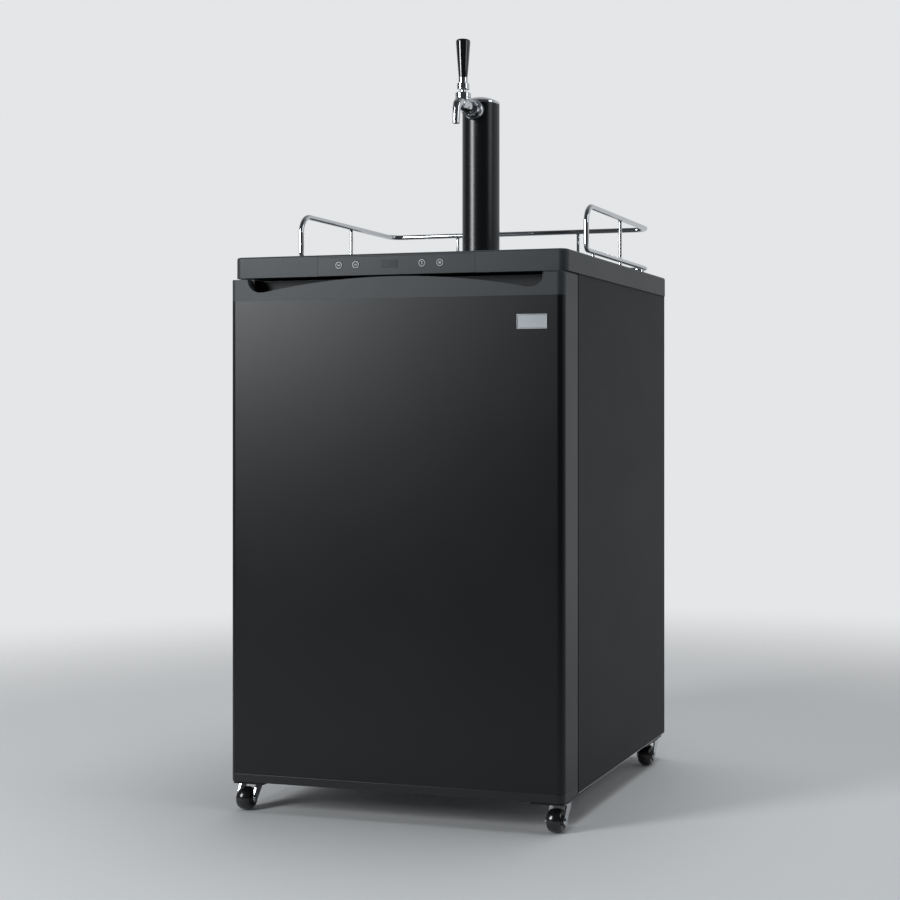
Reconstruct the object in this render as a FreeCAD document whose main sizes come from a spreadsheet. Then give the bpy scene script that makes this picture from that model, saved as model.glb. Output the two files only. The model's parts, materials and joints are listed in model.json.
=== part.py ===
# Free-standing kegerator: a cooled cabinet on casters with a tap tower and guard rail on its top.
# Millimetres. +Z is up, the front faces -Y, and the origin is on the floor at the middle of the
# bounding box. "Size" holds the driving dimensions and "At" the places worked out from them.
import FreeCAD, Part
import math
import os
import Sketcher

V = FreeCAD.Vector

SIZES = {
    # casters
    "wheel_radius": 20,
    "wheel_wide": 26,
    "wheel_round": 4,
    "wheel_side_gap": 0.8,
    "axle_radius": 3,
    "axle_head_radius": 5,
    "axle_head_thick": 1.5,
    "arm_thick": 2.5,
    "arm_end_radius": 7.5,
    "arm_ahead": 5.6,
    "arm_ahead_up": 5,
    "arm_behind": 6.4,
    "arm_behind_down": 4,
    "caster_trail": 18,
    "crown_thick": 3,
    "crown_gap": 2.5,
    "crown_radius": 14,
    "crown_ahead": 13,
    "crown_behind": 8,
    "crown_skirt": 3,
    "race_thick": 1.5,
    "race_radius": 11,
    "king_radius": 4,
    "king_head_radius": 6.5,
    "king_head_thick": 2.1,
    "king_play": 0.1,
    "caster_side_in": 17,
    "caster_front_in": 40,
    "caster_back_in": 55,
    # mounting plates under the cabinet
    "plate_thick": 3,
    "plate_wide": 57,
    "plate_front_in": 7,
    "plate_reach": 70,
    "rear_plate_ahead": 78,
    "rear_plate_behind": 30,
    "plate_bolt_radius": 2.5,
    "plate_bolt_head": 5,
    "plate_bolt_head_thick": 3,
    "plate_bolt_in": 14,
    # cabinet
    "cab_wide": 594,
    "cab_deep": 545,
    "cab_high": 859,
    "sheet_thick": 1,
    "return_wide": 12,
    "foam_side": 40,
    "foam_back": 39,
    "foam_base": 40,
    "foam_roof": 40,
    "liner_thick": 2,
    "bay_deep": 122,
    "bay_high": 230,
    "bay_foam": 16,
    "floor_plate_thick": 3,
    "floor_plate_gap": 2,
    "floor_plate_front_gap": 8,
    "line_hole_radius": 22,
    "line_sleeve_thick": 2,
    "gas_hole_radius": 6.5,
    "gas_sleeve_radius": 9,
    "gas_flange_radius": 14,
    "gas_flange_thick": 2,
    "gas_from_middle": 180,
    "gas_high": 640,
    # cooling
    "evap_half": 190,
    "evap_high": 380,
    "evap_thick": 1.5,
    "evap_off": 10,
    "evap_below_roof": 60,
    "standoff_radius": 5,
    "standoff_in": 25,
    "comp_from_middle": 130,
    "comp_radius": 52,
    "comp_high": 126,
    "comp_dome": 16,
    "comp_lid_radius": 31.2,
    "comp_foot_half": 78,
    "comp_foot_deep": 96,
    "comp_foot_thick": 3,
    "mount_radius": 9,
    "mount_high": 14,
    "mount_in": 12,
    "mount_bolt_radius": 3,
    "mount_bolt_across": 10,
    "mount_bolt_head": 4,
    "relay_wide": 26,
    "relay_deep": 44,
    "relay_high": 48,
    "relay_sink": 8,
    "relay_up": 20,
    "tray_half": 72,
    "tray_deep": 96,
    "tray_high": 30,
    "tray_wall": 2,
    "drain_radius": 6,
    "drain_wall": 1.5,
    "drain_dip": 12,
    "coil_radius": 2.5,
    "coil_pitch": 18,
    "coil_low": 30,
    "coil_left": 20,
    "coil_right": 262,
    "coil_runs": 8,
    "coil_in": 34,
    "coil_plate_thick": 1.5,
    "coil_plate_half": 12,
    "coil_plate_in": 14,
    "coil_bend": 8.1,
    "slot_wide": 96,
    "slot_high": 6,
    "slot_pitch": 18,
    "slot_count": 9,
    "slot_low": 40,
    "slot_gap": 24,
    "gland_radius": 7,
    "gland_bore": 4,
    "gland_flange_radius": 11,
    "gland_flange_thick": 2.5,
    "gland_inside": 6,
    "gland_from_middle": 262,
    "gland_high": 34,
    "screw_radius": 1.9,
    "screw_head_radius": 4,
    "screw_head_thick": 1.8,
    "cover_screw_in": 15,
    # door
    "door_over": 3,
    "door_thick": 72,
    "door_round": 12,
    "door_gap_top": 3.5,
    "door_gap_base": 2,
    "gasket_thick": 13,
    "gasket_wide": 18,
    "gasket_high_in": 22,
    "gasket_off_hinge": 2,
    "top_trim_high": 36.5,
    "base_trim_high": 14,
    "door_liner_thick": 2.5,
    "scoop_lip": 10,
    "scoop_deep": 30,
    "scoop_floor": 8,
    "scoop_dip": 22.5,
    "scoop_inner_x": 60,
    "scoop_low_x": 235,
    "scoop_outer_x": 267,
    "lap": 0.5,
    "well_past_inner": 6,
    "well_off_outer": 3,
    "badge_wide": 52,
    "badge_high": 24,
    "badge_thick": 1.2,
    "badge_side_in": 28,
    "badge_down": 67,
    "hinge_side_in": 22,
    "hinge_front_in": 22,
    "hinge_pin_radius": 4,
    "hinge_pin_reach": 12,
    "bush_radius": 7,
    "bush_deep": 12.5,
    "hinge_plate_thick": 2.4,
    "hinge_plate_half": 17,
    "hinge_leg_high": 22,
    "hinge_plate_gap": 0.6,
    "hinge_leaf_ahead": 12,
    "hinge_screw_half": 9,
    "hinge_screw_down": 8,
    "hinge_washer_over": 1,
    # worktop and controls
    "top_thick": 36,
    "top_over_side": 3,
    "top_over_back": 4,
    "top_setback": 14,
    "top_round": 14,
    "top_edge_round": 4,
    "top_wall": 3.5,
    "panel_half": 142,
    "panel_thick": 3,
    "panel_lip": 4.5,
    "panel_high": 18,
    "board_back": 8,
    "board_thick": 1.6,
    "board_half": 125,
    "board_tall": 24,
    "boss_radius": 3,
    "boss_in": 5,
    "control_bay_deep": 42,
    "control_bay_side": 4,
    "control_bay_up": 3,
    "button_radius": 6.7,
    "button_proud": 0.6,
    "button_flange_radius": 8.2,
    "button_flange_thick": 1.2,
    "button_stem_radius": 2,
    "button_travel": 1,
    "button_down_x": -103,
    "button_up_x": -72,
    "button_unit_x": 48,
    "button_chill_x": 80,
    "switch_half": 3,
    "switch_thick": 3,
    "switch_nub": 0.8,
    "switch_nub_radius": 1.7,
    "window_half": 15,
    "window_middle": -10,
    "window_tall": 13,
    "window_thick": 2,
    # tower
    "tower_in": 387,
    "tower_radius": 35,
    "tower_wall": 1.5,
    "cap_above_shank": 30,
    "cap_rim": 4,
    "cap_dome": 10,
    "cap_over": 0.5,
    "cap_spigot": 3,
    "flange_radius": 52,
    "flange_thick": 8,
    "flange_taper": 2,
    "tower_foam_up": 2,
    "tower_foam_down": 12,
    "flange_seat": 2,
    "flange_screw_ring": 44,
    "flange_screw_radius": 2.5,
    "flange_screw_head": 4.4,
    "flange_screw_head_thick": 2.6,
    "flange_screw_deep": 26,
    "sleeve_bore": 12,
    # tap
    "shank_up": 300,
    "shank_radius": 9.5,
    "shank_bore": 3.5,
    "shank_past_nut": 4,
    "shank_head_radius": 13,
    "shank_head_thick": 7,
    "ring_thick": 9,
    "ring_radius": 19,
    "ring_front_radius": 17,
    "ring_wrap": 6,
    "nut_radius": 16.5,
    "nut_long": 15,
    "nut_spanner_radius": 2,
    "nut_spanner_deep": 2,
    "nut_spanner_in": 4,
    "nut_spanner_count": 6,
    "nut_lip": 4,
    "saddle_radius": 12.5,
    "saddle_thick": 4,
    "lock_nut_across": 22,
    "lock_nut_thick": 8,
    "elbow_radius": 4,
    "elbow_bore": 2.5,
    "elbow_bend": 9,
    "elbow_drop": 30,
    "tail_nut_across": 20,
    "tail_nut_thick": 7,
    "barrel_radius": 11.5,
    "tap_reach": 54,
    "barrel_ahead": 16,
    "nose_radius": 6.9,
    "nose_long": 5,
    "valve_bore": 5.5,
    "valve_chamber_radius": 8,
    "valve_chamber_deep": 17,
    "spout_radius": 7.5,
    "spout_bore": 4.5,
    "spout_start_y": 6,
    "spout_knee_y": 26,
    "spout_knee_up": 5,
    "spout_tip_y": 34,
    "spout_tip_down": 39,
    "spout_bend": 11,
    "pivot_up": 14,
    "ball_radius": 8.3,
    "tip_way_radius": 7.7,
    "trunnion_radius": 2,
    "trunnion_half": 11.5,
    "bonnet_radius": 14.5,
    "bonnet_above": 8,
    "bonnet_below": 6,
    "bonnet_bevel": 1.6,
    "bonnet_flare": 3,
    "bonnet_flare_deep": 5,
    "lever_neck": 5.2,
    "lever_collar_up": 14,
    "lever_collar_radius": 11.5,
    "lever_collar_thick": 11,
    "lever_stud": 3,
    "lever_stud_long": 20,
    "lever_tip_radius": 3,
    "lever_tip_waist": 0.9,
    "tip_relief": 8,
    "tip_play": 0.6,
    "relief_up": 0.3,
    "ferrule_radius": 8.5,
    "ferrule_thick": 11,
    "handle_base_radius": 8,
    "handle_top_radius": 13.5,
    "handle_high": 70,
    "handle_dome": 2,
    "handle_round": 3,
    "washer_radius": 7,
    "washer_thick": 2,
    "plunger_neck": 3,
    # beer line
    "hose_radius": 6,
    "hose_bore": 4,
    "hose_drop": 42,
    "hose_over_elbow": 14,
    "clamp_in_top": 2,
    "clamp_in_low": 3,
    "clamp_thick": 0.8,
    "clamp_high": 8,
    "line_nut_across": 28,
    "line_nut_high": 22,
    "line_nut_wall": 4,
    "line_nut_bore": 11,
    "line_flange_thick": 3,
    "line_flange_radius": 8,
    "line_stem": 16,
    # guard rail
    "rail_side_in": 28,
    "rail_front_in": 190,
    "rail_back_in": 35,
    "rail_up": 93.5,
    "rail_radius": 4.7,
    "rail_bend": 32,
    "rail_corner": 26,
    "lower_up": 16,
    "lower_radius": 4.2,
    "elbow_round": 10,
    "weld_sink": 0.6,
    "bend_spare": 0.1,
    "rod_radius": 3,
    "rod_in": 205,
    "rod_from_middle": 128,
    "peg_radius": 3,
    "peg_deep": 10,
    "peg_in": 40,
    # drip tray
    "pan_half": 100,
    "pan_deep": 127,
    "pan_high": 17,
    "pan_wall": 2,
    "pan_ledge": 2,
    "grid_thick": 2.5,
    "grid_slot": 6,
    "grid_pitch": 14,
    "grid_slots": 13,
    "grid_margin": 12,
    # fits
    "run_fit": 0.05,
    "soft_gap": 0.3,
    "panel_gap": 0.4,
    "past": 1,
    "far_past": 5,
}

PLACES = {
    "arm_inner": "Size.wheel_wide / 2 + Size.wheel_side_gap",
    "arm_outer": "arm_inner + Size.arm_thick",
    "crown_low": "2 * Size.wheel_radius + Size.crown_gap",
    "crown_high": "crown_low + Size.crown_thick",
    "plate_low": "crown_high + Size.race_thick",
    "base_z": "plate_low + Size.plate_thick",
    "pan_top": "base_z + Size.sheet_thick",
    "cab_top": "base_z + Size.cab_high",
    "top_z": "cab_top + Size.top_thick",
    "cab_x": "Size.cab_wide / 2",
    "skin_x": "cab_x - Size.sheet_thick",
    "door_x": "cab_x + Size.door_over",
    "top_x": "cab_x + Size.top_over_side",
    "front_y": "-(Size.badge_thick + Size.door_thick + Size.gasket_thick + Size.cab_deep"
               " + Size.top_over_back) / 2",
    "door_front": "front_y + Size.badge_thick",
    "door_back": "door_front + Size.door_thick",
    "cab_front": "door_back + Size.gasket_thick",
    "cab_back": "cab_front + Size.cab_deep",
    "skin_back": "cab_back - Size.sheet_thick",
    "top_front": "door_front + Size.top_setback",
    "top_back": "cab_back + Size.top_over_back",
    "room_x": "skin_x - Size.foam_side - Size.liner_thick",
    "room_floor": "pan_top + Size.foam_base + Size.liner_thick",
    "room_roof": "cab_top - Size.foam_roof - Size.liner_thick",
    "room_back": "skin_back - Size.sheet_thick - Size.foam_back - Size.liner_thick",
    "bay_front": "cab_back - Size.bay_deep",
    "bay_top": "base_z + Size.bay_high",
    "hump_front": "bay_front - Size.sheet_thick - Size.bay_foam - Size.liner_thick",
    "hump_top": "bay_top + Size.sheet_thick + Size.bay_foam + Size.liner_thick",
    "caster_x": "cab_x - Size.caster_side_in",
    "caster_front": "door_front + Size.caster_front_in",
    "caster_rear": "cab_back - Size.caster_back_in",
    "plate_inner": "cab_x - Size.plate_wide",
    "plate_back": "cab_front + Size.plate_reach",
    "comp_y": "(bay_front + skin_back) / 2",
    "comp_low": "pan_top + Size.mount_high + Size.comp_foot_thick",
    "comp_top": "comp_low + Size.comp_high",
    "door_low": "base_z + Size.door_gap_base",
    "door_high": "cab_top - Size.door_gap_top",
    "skin_low": "door_low + Size.base_trim_high",
    "skin_high": "door_high - Size.top_trim_high",
    "hinge_x": "door_x - Size.hinge_side_in",
    "hinge_y": "door_front + Size.hinge_front_in",
    "hinge_plate_z": "door_high + Size.hinge_plate_gap",
    "scoop_back": "door_front + Size.scoop_lip + Size.scoop_deep",
    "panel_y": "top_front + Size.panel_thick",
    "board_y": "panel_y + Size.board_back",
    "panel_z": "cab_top + Size.panel_high",
    "tower_y": "top_front + Size.tower_in",
    "tower_front": "tower_y - Size.tower_radius",
    "shank_z": "top_z + Size.shank_up",
    "tower_top": "shank_z + Size.cap_above_shank",
    "column_top": "tower_top - Size.cap_rim - Size.cap_dome",
    "ring_y": "tower_front - Size.ring_thick",
    "shank_head_y": "ring_y - Size.shank_head_thick",
    "nut_y": "ring_y - Size.nut_long",
    "tap_y": "tower_front - Size.tap_reach",
    "pivot_z": "shank_z + Size.pivot_up",
    "collar_z": "pivot_z + Size.lever_collar_up",
    "ferrule_z": "collar_z + Size.lever_collar_thick",
    "handle_z": "ferrule_z + Size.ferrule_thick",
    "inner_wall": "tower_front + Size.tower_wall",
    "saddle_y": "inner_wall + Size.saddle_thick",
    "lock_y": "saddle_y + Size.lock_nut_thick",
    "shank_end": "lock_y + Size.shank_past_nut",
    "elbow_low": "shank_z - Size.elbow_drop",
    "hose_low": "room_roof - Size.hose_drop",
    "line_nut_high_z": "hose_low - Size.soft_gap",
    "line_nut_low": "line_nut_high_z - Size.line_nut_high",
    "rail_x": "top_x - Size.rail_side_in",
    "rail_front": "top_front + Size.rail_front_in",
    "rail_back": "top_back - Size.rail_back_in",
    "rail_z": "top_z + Size.rail_up",
    "lower_z": "top_z + Size.lower_up",
    "rod_y": "rail_front + Size.rod_in",
    "pan_y": "tap_y - Size.spout_tip_y",
    "pan_low_y": "pan_y - Size.pan_deep / 2",
    "pan_high_y": "pan_y + Size.pan_deep / 2",
}

doc = FreeCAD.newDocument("kegerator")
sizes = doc.addObject("Spreadsheet::Sheet", "Size")
places = doc.addObject("Spreadsheet::Sheet", "At")
for sheet, rows, lead in ((sizes, SIZES, ""), (places, PLACES, "=")):
    for row, (alias, content) in enumerate(rows.items(), 1):
        sheet.set(f"A{row}", alias)
        sheet.set(f"B{row}", f"{lead}{content}")
        sheet.setAlias(f"B{row}", alias)
doc.recompute()

nodes = {}
TURN = {
    "x": FreeCAD.Rotation(V(0, 1, 0), 90),
    "y": FreeCAD.Rotation(V(1, 0, 0), -90),
    "z": FreeCAD.Rotation(),
}


# ---- helpers ----

def value(expression):
    """The number that an expression of sheet cells gives."""
    return float(sizes.evalExpression(str(expression)))


def bind(thing, **expressions):
    for prop, expression in expressions.items():
        thing.setExpression(prop, expression)


def base_at(thing, x, y, z):
    for letter, expression in zip("xyz", (x, y, z)):
        thing.setExpression(f"Placement.Base.{letter}", str(expression))


def keep(node, thing):
    """Name a finished sub-part: its label is its node."""
    thing.Label = node
    nodes[node] = thing
    return thing


def block(name, x, y, z):
    """Box from (low, high) expressions along each axis."""
    box = doc.addObject("Part::Box", name)
    for prop, (low, high) in zip(("Length", "Width", "Height"), (x, y, z)):
        box.setExpression(prop, f"({high}) - ({low})")
    base_at(box, x[0], y[0], z[0])
    return box


def along(thing, axis, centre, start):
    """Stand a round thing on its axis: centre holds the two other coordinates."""
    thing.Placement = FreeCAD.Placement(V(), TURN[axis])
    spots = list(centre)
    spots.insert("xyz".index(axis), start)
    base_at(thing, *spots)


def rod(name, axis, centre, radius, start, end):
    cylinder = doc.addObject("Part::Cylinder", name)
    bind(cylinder, Radius=str(radius), Height=f"({end}) - ({start})")
    along(cylinder, axis, centre, start)
    return cylinder


def taper(name, axis, centre, radii, start, end):
    cone = doc.addObject("Part::Cone", name)
    bind(cone, Radius1=str(radii[0]), Radius2=str(radii[1]), Height=f"({end}) - ({start})")
    along(cone, axis, centre, start)
    return cone


def ball(name, centre, radius):
    sphere = doc.addObject("Part::Sphere", name)
    bind(sphere, Radius=radius)
    base_at(sphere, *centre)
    return sphere


def hexagon(name, axis, centre, across, start, end):
    prism = doc.addObject("Part::Prism", name)
    prism.Polygon = 6
    bind(prism, Circumradius=f"({across}) / sqrt(3)", Height=f"({end}) - ({start})")
    along(prism, axis, centre, start)
    return prism


def fuse(name, *pieces):
    union = doc.addObject("Part::MultiFuse", name)
    union.Shapes = list(pieces)
    return union


def cut(name, base, *tools):
    rest = doc.addObject("Part::Cut", name)
    rest.Base = base
    rest.Tool = tools[0] if len(tools) == 1 else fuse(f"{name}_tools", *tools)
    return rest


def common(name, one, other):
    both = doc.addObject("Part::Common", name)
    both.Base = one
    both.Tool = other
    return both


def group(name, pieces):
    """Separate solids that share one node."""
    compound = doc.addObject("Part::Compound", name)
    compound.Links = list(pieces)
    return compound


def tube(name, axis, centre, radius, bore, start, end):
    outer = rod(f"{name}_outer", axis, centre, radius, start, end)
    inner = rod(f"{name}_bore", axis, centre, bore, f"({start}) - Size.past", f"({end}) + Size.past")
    return cut(name, outer, inner)


def new_sketch(body, name, role, offset="0"):
    """Empty sketch on one of the body's own origin planes."""
    sketch = body.newObject("Sketcher::SketchObject", name)
    plane = next(item for item in body.Origin.OriginFeatures if item.Role == role)
    sketch.AttachmentSupport = (plane, "")
    sketch.MapMode = "FlatFace"
    sketch.setExpression("AttachmentOffset.Base.z", offset)
    return sketch


def outline(sketch, corners):
    """Closed outline of straight lines whose corners are bound to expressions."""
    points = [V(value(x), value(y), 0) for x, y in corners]
    count = len(points)
    for index in range(count):
        sketch.addGeometry(Part.LineSegment(points[index], points[(index + 1) % count]))
    for index in range(count):
        sketch.addConstraint(Sketcher.Constraint("Coincident", index, 2, (index + 1) % count, 1))
    for index, corner in enumerate(corners):
        for kind, expression in zip(("DistanceX", "DistanceY"), corner):
            rule = Sketcher.Constraint(kind, -1, 1, index, 1, value(expression))
            number = sketch.addConstraint(rule)
            sketch.setExpression(f"Constraints[{number}]", str(expression))


def rectangle(sketch, x, y):
    outline(sketch, [(x[0], y[0]), (x[1], y[0]), (x[1], y[1]), (x[0], y[1])])


def pad(body, sketch, length):
    feature = body.newObject("PartDesign::Pad", f"{sketch.Name}_pad")
    feature.Profile = sketch
    feature.setExpression("Length", length)
    return feature


def spin(body, sketch, axis="V_Axis"):
    feature = body.newObject("PartDesign::Revolution", f"{sketch.Name}_spin")
    feature.Profile = sketch
    feature.ReferenceAxis = (sketch, [axis])
    feature.Angle = 360
    return feature


def round_edges(body, feature, radius, test):
    """Fillet the edges of a feature that pass a test of their shape."""
    doc.recompute()
    names = [f"Edge{n}" for n, edge in enumerate(feature.Shape.Edges, 1) if test(edge)]
    fillet = body.newObject("PartDesign::Fillet", f"{feature.Name}_round")
    fillet.Base = (feature, names)
    fillet.setExpression("Radius", radius)
    return fillet


def upright(edge):
    box = edge.BoundBox
    return box.ZLength > 1 and box.XLength < 0.01 and box.YLength < 0.01


def plan_body(name, x, y, z, radius, front_only=True):
    """Slab with rounded upright corners: (low, high) expressions along each axis."""
    body = doc.addObject("PartDesign::Body", name)
    sketch = new_sketch(body, f"{name}_plan", "XY_Plane", z[0])
    rectangle(sketch, x, y)
    slab = pad(body, sketch, f"({z[1]}) - ({z[0]})")
    middle = (value(y[0]) + value(y[1])) / 2

    def corner(edge):
        return upright(edge) and (edge.CenterOfMass.y < middle or not front_only)

    round_edges(body, slab, radius, corner)
    return body


def bent_tube(name, points, bends, radius, bore=0):
    """Tube along straight runs joined by tangent arcs; the sizes are read from the sheets."""
    edges = []
    last = points[0]
    for index in range(1, len(points) - 1):
        here = points[index]
        back = (points[index - 1] - here).normalize()
        ahead = (points[index + 1] - here).normalize()
        half = back.getAngle(ahead) / 2
        bend = bends[index - 1]
        reach = bend / math.tan(half)
        start = here + back * reach
        end = here + ahead * reach
        inward = (back + ahead).normalize()
        depth = bend / math.sin(half) - bend
        edges.append(Part.LineSegment(last, start).toShape())
        edges.append(Part.Arc(start, here + inward * depth, end).toShape())
        last = end
    edges.append(Part.LineSegment(last, points[-1]).toShape())
    path = Part.Wire(edges)
    ahead = points[1] - points[0]

    def sweep(size):
        ring = Part.Wire([Part.Circle(points[0], ahead, size).toShape()])
        return path.makePipeShell([ring], True, False)

    solid = sweep(radius)
    if bore:
        solid = solid.cut(sweep(bore))
    feature = doc.addObject("Part::Feature", name)
    feature.Shape = solid
    return feature


# ---- cabinet shell ----

ROOM_X = ("-At.room_x", "At.room_x")
SKIN_X = ("-At.skin_x", "At.skin_x")


def side_panel(node, sign):
    """Steel side with a narrow return behind the back panel."""
    body = doc.addObject("PartDesign::Body", node)
    sketch = new_sketch(body, f"{node}_plan", "XY_Plane", "At.pan_top")
    outer, inner, lip = (f"{sign} * ({x})" for x in ("At.cab_x", "At.skin_x",
                                                     "At.skin_x - Size.return_wide"))
    behind = "At.skin_back - Size.sheet_thick"
    outline(sketch, [(outer, "At.cab_front"), (inner, "At.cab_front"), (inner, behind), (lip, behind),
                     (lip, "At.skin_back"), (outer, "At.skin_back")])
    pad(body, sketch, "At.cab_top - At.pan_top")
    return body


panel_left = side_panel("panel_left", -1)
panel_right = side_panel("panel_right", 1)

pan = block("pan_sheet", ("-At.cab_x", "At.cab_x"), ("At.cab_front", "At.cab_back"),
            ("At.base_z", "At.pan_top"))

line_hole = rod("line_hole", "z", ("0", "At.tower_y"), "Size.line_hole_radius + Size.line_sleeve_thick",
                "At.room_roof - Size.far_past", "At.top_z + Size.flange_thick + Size.past")
frame_sheet = block("frame_sheet", SKIN_X, ("At.cab_front", "At.cab_front + Size.sheet_thick"),
                    ("At.pan_top", "At.cab_top"))
mouth = block("mouth", ROOM_X, ("At.cab_front - Size.past", "At.cab_front + Size.far_past"),
              ("At.room_floor", "At.room_roof"))

HINGE_SCREWS = [(f"At.hinge_x + {side} * Size.hinge_screw_half", "At.door_high - Size.hinge_screw_down")
                for side in (-1, 1)]
frame_holes = [rod(f"frame_hole_{n}", "y", spot, "Size.screw_radius", "At.cab_front - Size.far_past",
                   "At.cab_front + Size.far_past")
               for n, spot in enumerate(HINGE_SCREWS)]
keep("front_frame", cut("front_frame", frame_sheet, mouth, *frame_holes))

GAS = ("Size.gas_from_middle", "At.base_z + Size.gas_high")
gas_hole = rod("gas_hole", "y", GAS, "Size.gas_sleeve_radius", "At.room_back - Size.far_past",
               "At.cab_back + Size.far_past")
back_sheet = block("back_sheet", SKIN_X, ("At.skin_back", "At.cab_back"),
                   ("At.bay_top + Size.sheet_thick", "At.cab_top"))
keep("back_panel", cut("back_panel", back_sheet, gas_hole))

shroud = block("shroud_box", SKIN_X, ("At.bay_front - Size.sheet_thick", "At.skin_back - Size.sheet_thick"),
               ("At.pan_top", "At.bay_top + Size.sheet_thick"))
bay = block("bay", ("-At.cab_x", "At.cab_x"), ("At.bay_front", "At.cab_back"),
            ("At.base_z - Size.past", "At.bay_top"))
DRAIN = ("-Size.comp_from_middle", "At.comp_y")
drain_hole = rod("drain_hole", "z", DRAIN, "Size.drain_radius", "At.bay_top - Size.far_past",
                 "At.hump_top + Size.far_past")
keep("bay_shroud", cut("bay_shroud", shroud, bay, drain_hole))

def room(name, grow):
    """The chamber with its hump at the back, grown by a wall thickness."""
    whole = block(f"{name}_whole", (f"-At.room_x - {grow}", f"At.room_x + {grow}"),
                  ("At.cab_front - Size.far_past", f"At.room_back + {grow}"),
                  (f"At.room_floor - {grow}", f"At.room_roof + {grow}"))
    hump = block(f"{name}_hump", ("-At.cab_x", "At.cab_x"), (f"At.hump_front + {grow}", "At.cab_back"),
                 ("At.base_z", f"At.hump_top - {grow}"))
    return cut(name, whole, hump)


liner_outside = room("liner_outside", "Size.liner_thick")
liner_inside = room("liner_inside", "0")

# the foam fills the shell in nine blocks that meet face to face
wall_x = "(At.room_x + Size.liner_thick)"
foam_front = "At.cab_front + Size.sheet_thick"
foam_rear = "At.skin_back - Size.sheet_thick"
bay_wall = "At.bay_front - Size.sheet_thick"
hump_wall = "At.hump_front + Size.liner_thick"
hump_roof = "At.hump_top - Size.liner_thick"
bay_roof = "At.bay_top + Size.sheet_thick"
under_z = "At.room_floor - Size.liner_thick"
over_z = "At.room_roof + Size.liner_thick"
BETWEEN = (f"-{wall_x}", wall_x)
foams = [
    block("foam_floor", SKIN_X, (foam_front, bay_wall), ("At.pan_top", under_z)),
    block("foam_hump_front", BETWEEN, (hump_wall, bay_wall), (under_z, hump_roof)),
    cut("foam_hump_top", block("foam_hump_slab", BETWEEN, (bay_wall, foam_rear), (bay_roof, hump_roof)),
        drain_hole),
    cut("foam_back", block("foam_back_slab", BETWEEN, ("At.room_back + Size.liner_thick", foam_rear),
                           (hump_roof, over_z)), gas_hole),
    cut("foam_roof", block("foam_roof_slab", SKIN_X, (foam_front, foam_rear), (over_z, "At.cab_top")),
        line_hole)]
for side, span in (("left", ("-At.skin_x", f"-{wall_x}")), ("right", (wall_x, "At.skin_x"))):
    foams.append(block(f"foam_{side}_front", span, (foam_front, bay_wall), (under_z, over_z)))
    foams.append(block(f"foam_{side}_rear", span, (bay_wall, foam_rear), (bay_roof, over_z)))
keep("cabinet_foam", group("cabinet_foam", foams))
before_frame = block("before_frame", ("-At.cab_x", "At.cab_x"),
                     ("At.front_y", "At.cab_front + Size.sheet_thick"), ("0", "At.top_z"))
keep("inner_liner", cut("inner_liner", liner_outside, liner_inside, before_frame, line_hole, gas_hole,
                        drain_hole))

keep("keg_floor_plate", block("floor_plate", ("-At.room_x + Size.floor_plate_gap",
                                              "At.room_x - Size.floor_plate_gap"),
                              ("At.cab_front + Size.floor_plate_front_gap",
                               "At.hump_front - Size.floor_plate_gap"),
                              ("At.room_floor", "At.room_floor + Size.floor_plate_thick")))

line_sleeve = tube("line_sleeve", "z", ("0", "At.tower_y"), "Size.line_hole_radius + Size.line_sleeve_thick",
                         "Size.line_hole_radius", "At.room_roof", "At.cab_top")
gas_barrel = rod("gas_barrel", "y", GAS, "Size.gas_sleeve_radius", "At.room_back", "At.cab_back")
gas_flange = rod("gas_flange", "y", GAS, "Size.gas_flange_radius", "At.cab_back",
                 "At.cab_back + Size.gas_flange_thick")
gas_bore = rod("gas_bore", "y", GAS, "Size.gas_hole_radius", "At.room_back - Size.far_past",
               "At.top_back + Size.far_past")
gas_sleeve = cut("gas_sleeve", fuse("gas_body", gas_barrel, gas_flange), gas_bore)

# ---- cooling ----

EVAP_Z = ("At.room_roof - Size.evap_below_roof - Size.evap_high", "At.room_roof - Size.evap_below_roof")
evap_face = "At.room_back - Size.evap_off"
evap_sheet = block("evap_sheet", ("-Size.evap_half", "Size.evap_half"),
                   (f"{evap_face} - Size.evap_thick", evap_face), EVAP_Z)
keep("evaporator", group("evaporator", [evap_sheet] + [rod(f"standoff_{side}_{level}", "y",
     (f"{side} * (Size.evap_half - Size.standoff_in)",
     f"{EVAP_Z[level]} + {1 - 2 * level} * Size.standoff_in"), "Size.standoff_radius", evap_face,
     "At.room_back") for side in (-1, 1) for level in (0, 1)]))

COMP = ("-Size.comp_from_middle", "At.comp_y")
shoulder = "At.comp_top - Size.comp_dome"
pot = rod("comp_pot", "z", COMP, "Size.comp_radius", "At.comp_low", shoulder)
lid = taper("comp_lid", "z", COMP, ("Size.comp_radius", "Size.comp_lid_radius"), shoulder, "At.comp_top")
MOUNT_SPOTS = [(f"{COMP[0]} + {i} * (Size.comp_foot_half - Size.mount_in)",
               f"{COMP[1]} + {j} * (Size.comp_foot_deep / 2 - Size.mount_in)") for i in (-1, 1)
               for j in (-1, 1)]
foot_low = "At.pan_top + Size.mount_high"
foot = block("comp_foot", (f"{COMP[0]} - Size.comp_foot_half", f"{COMP[0]} + Size.comp_foot_half"),
             (f"{COMP[1]} - Size.comp_foot_deep / 2", f"{COMP[1]} + Size.comp_foot_deep / 2"),
             (foot_low, "At.comp_low"))
foot_holes = [rod(f"foot_hole_{n}", "z", spot, "Size.mount_bolt_radius", "At.base_z",
                  "At.comp_low + Size.past")
              for n, spot in enumerate(MOUNT_SPOTS)]
pump = cut("pump", fuse("comp_body", pot, lid, foot), *foot_holes)
keep("compressor_mounts", group("compressor_mounts", [
    tube(f"mount_{n}", "z", spot, "Size.mount_radius", "Size.mount_bolt_radius", "At.pan_top", foot_low)
    for n, spot in enumerate(MOUNT_SPOTS)]))
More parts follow.
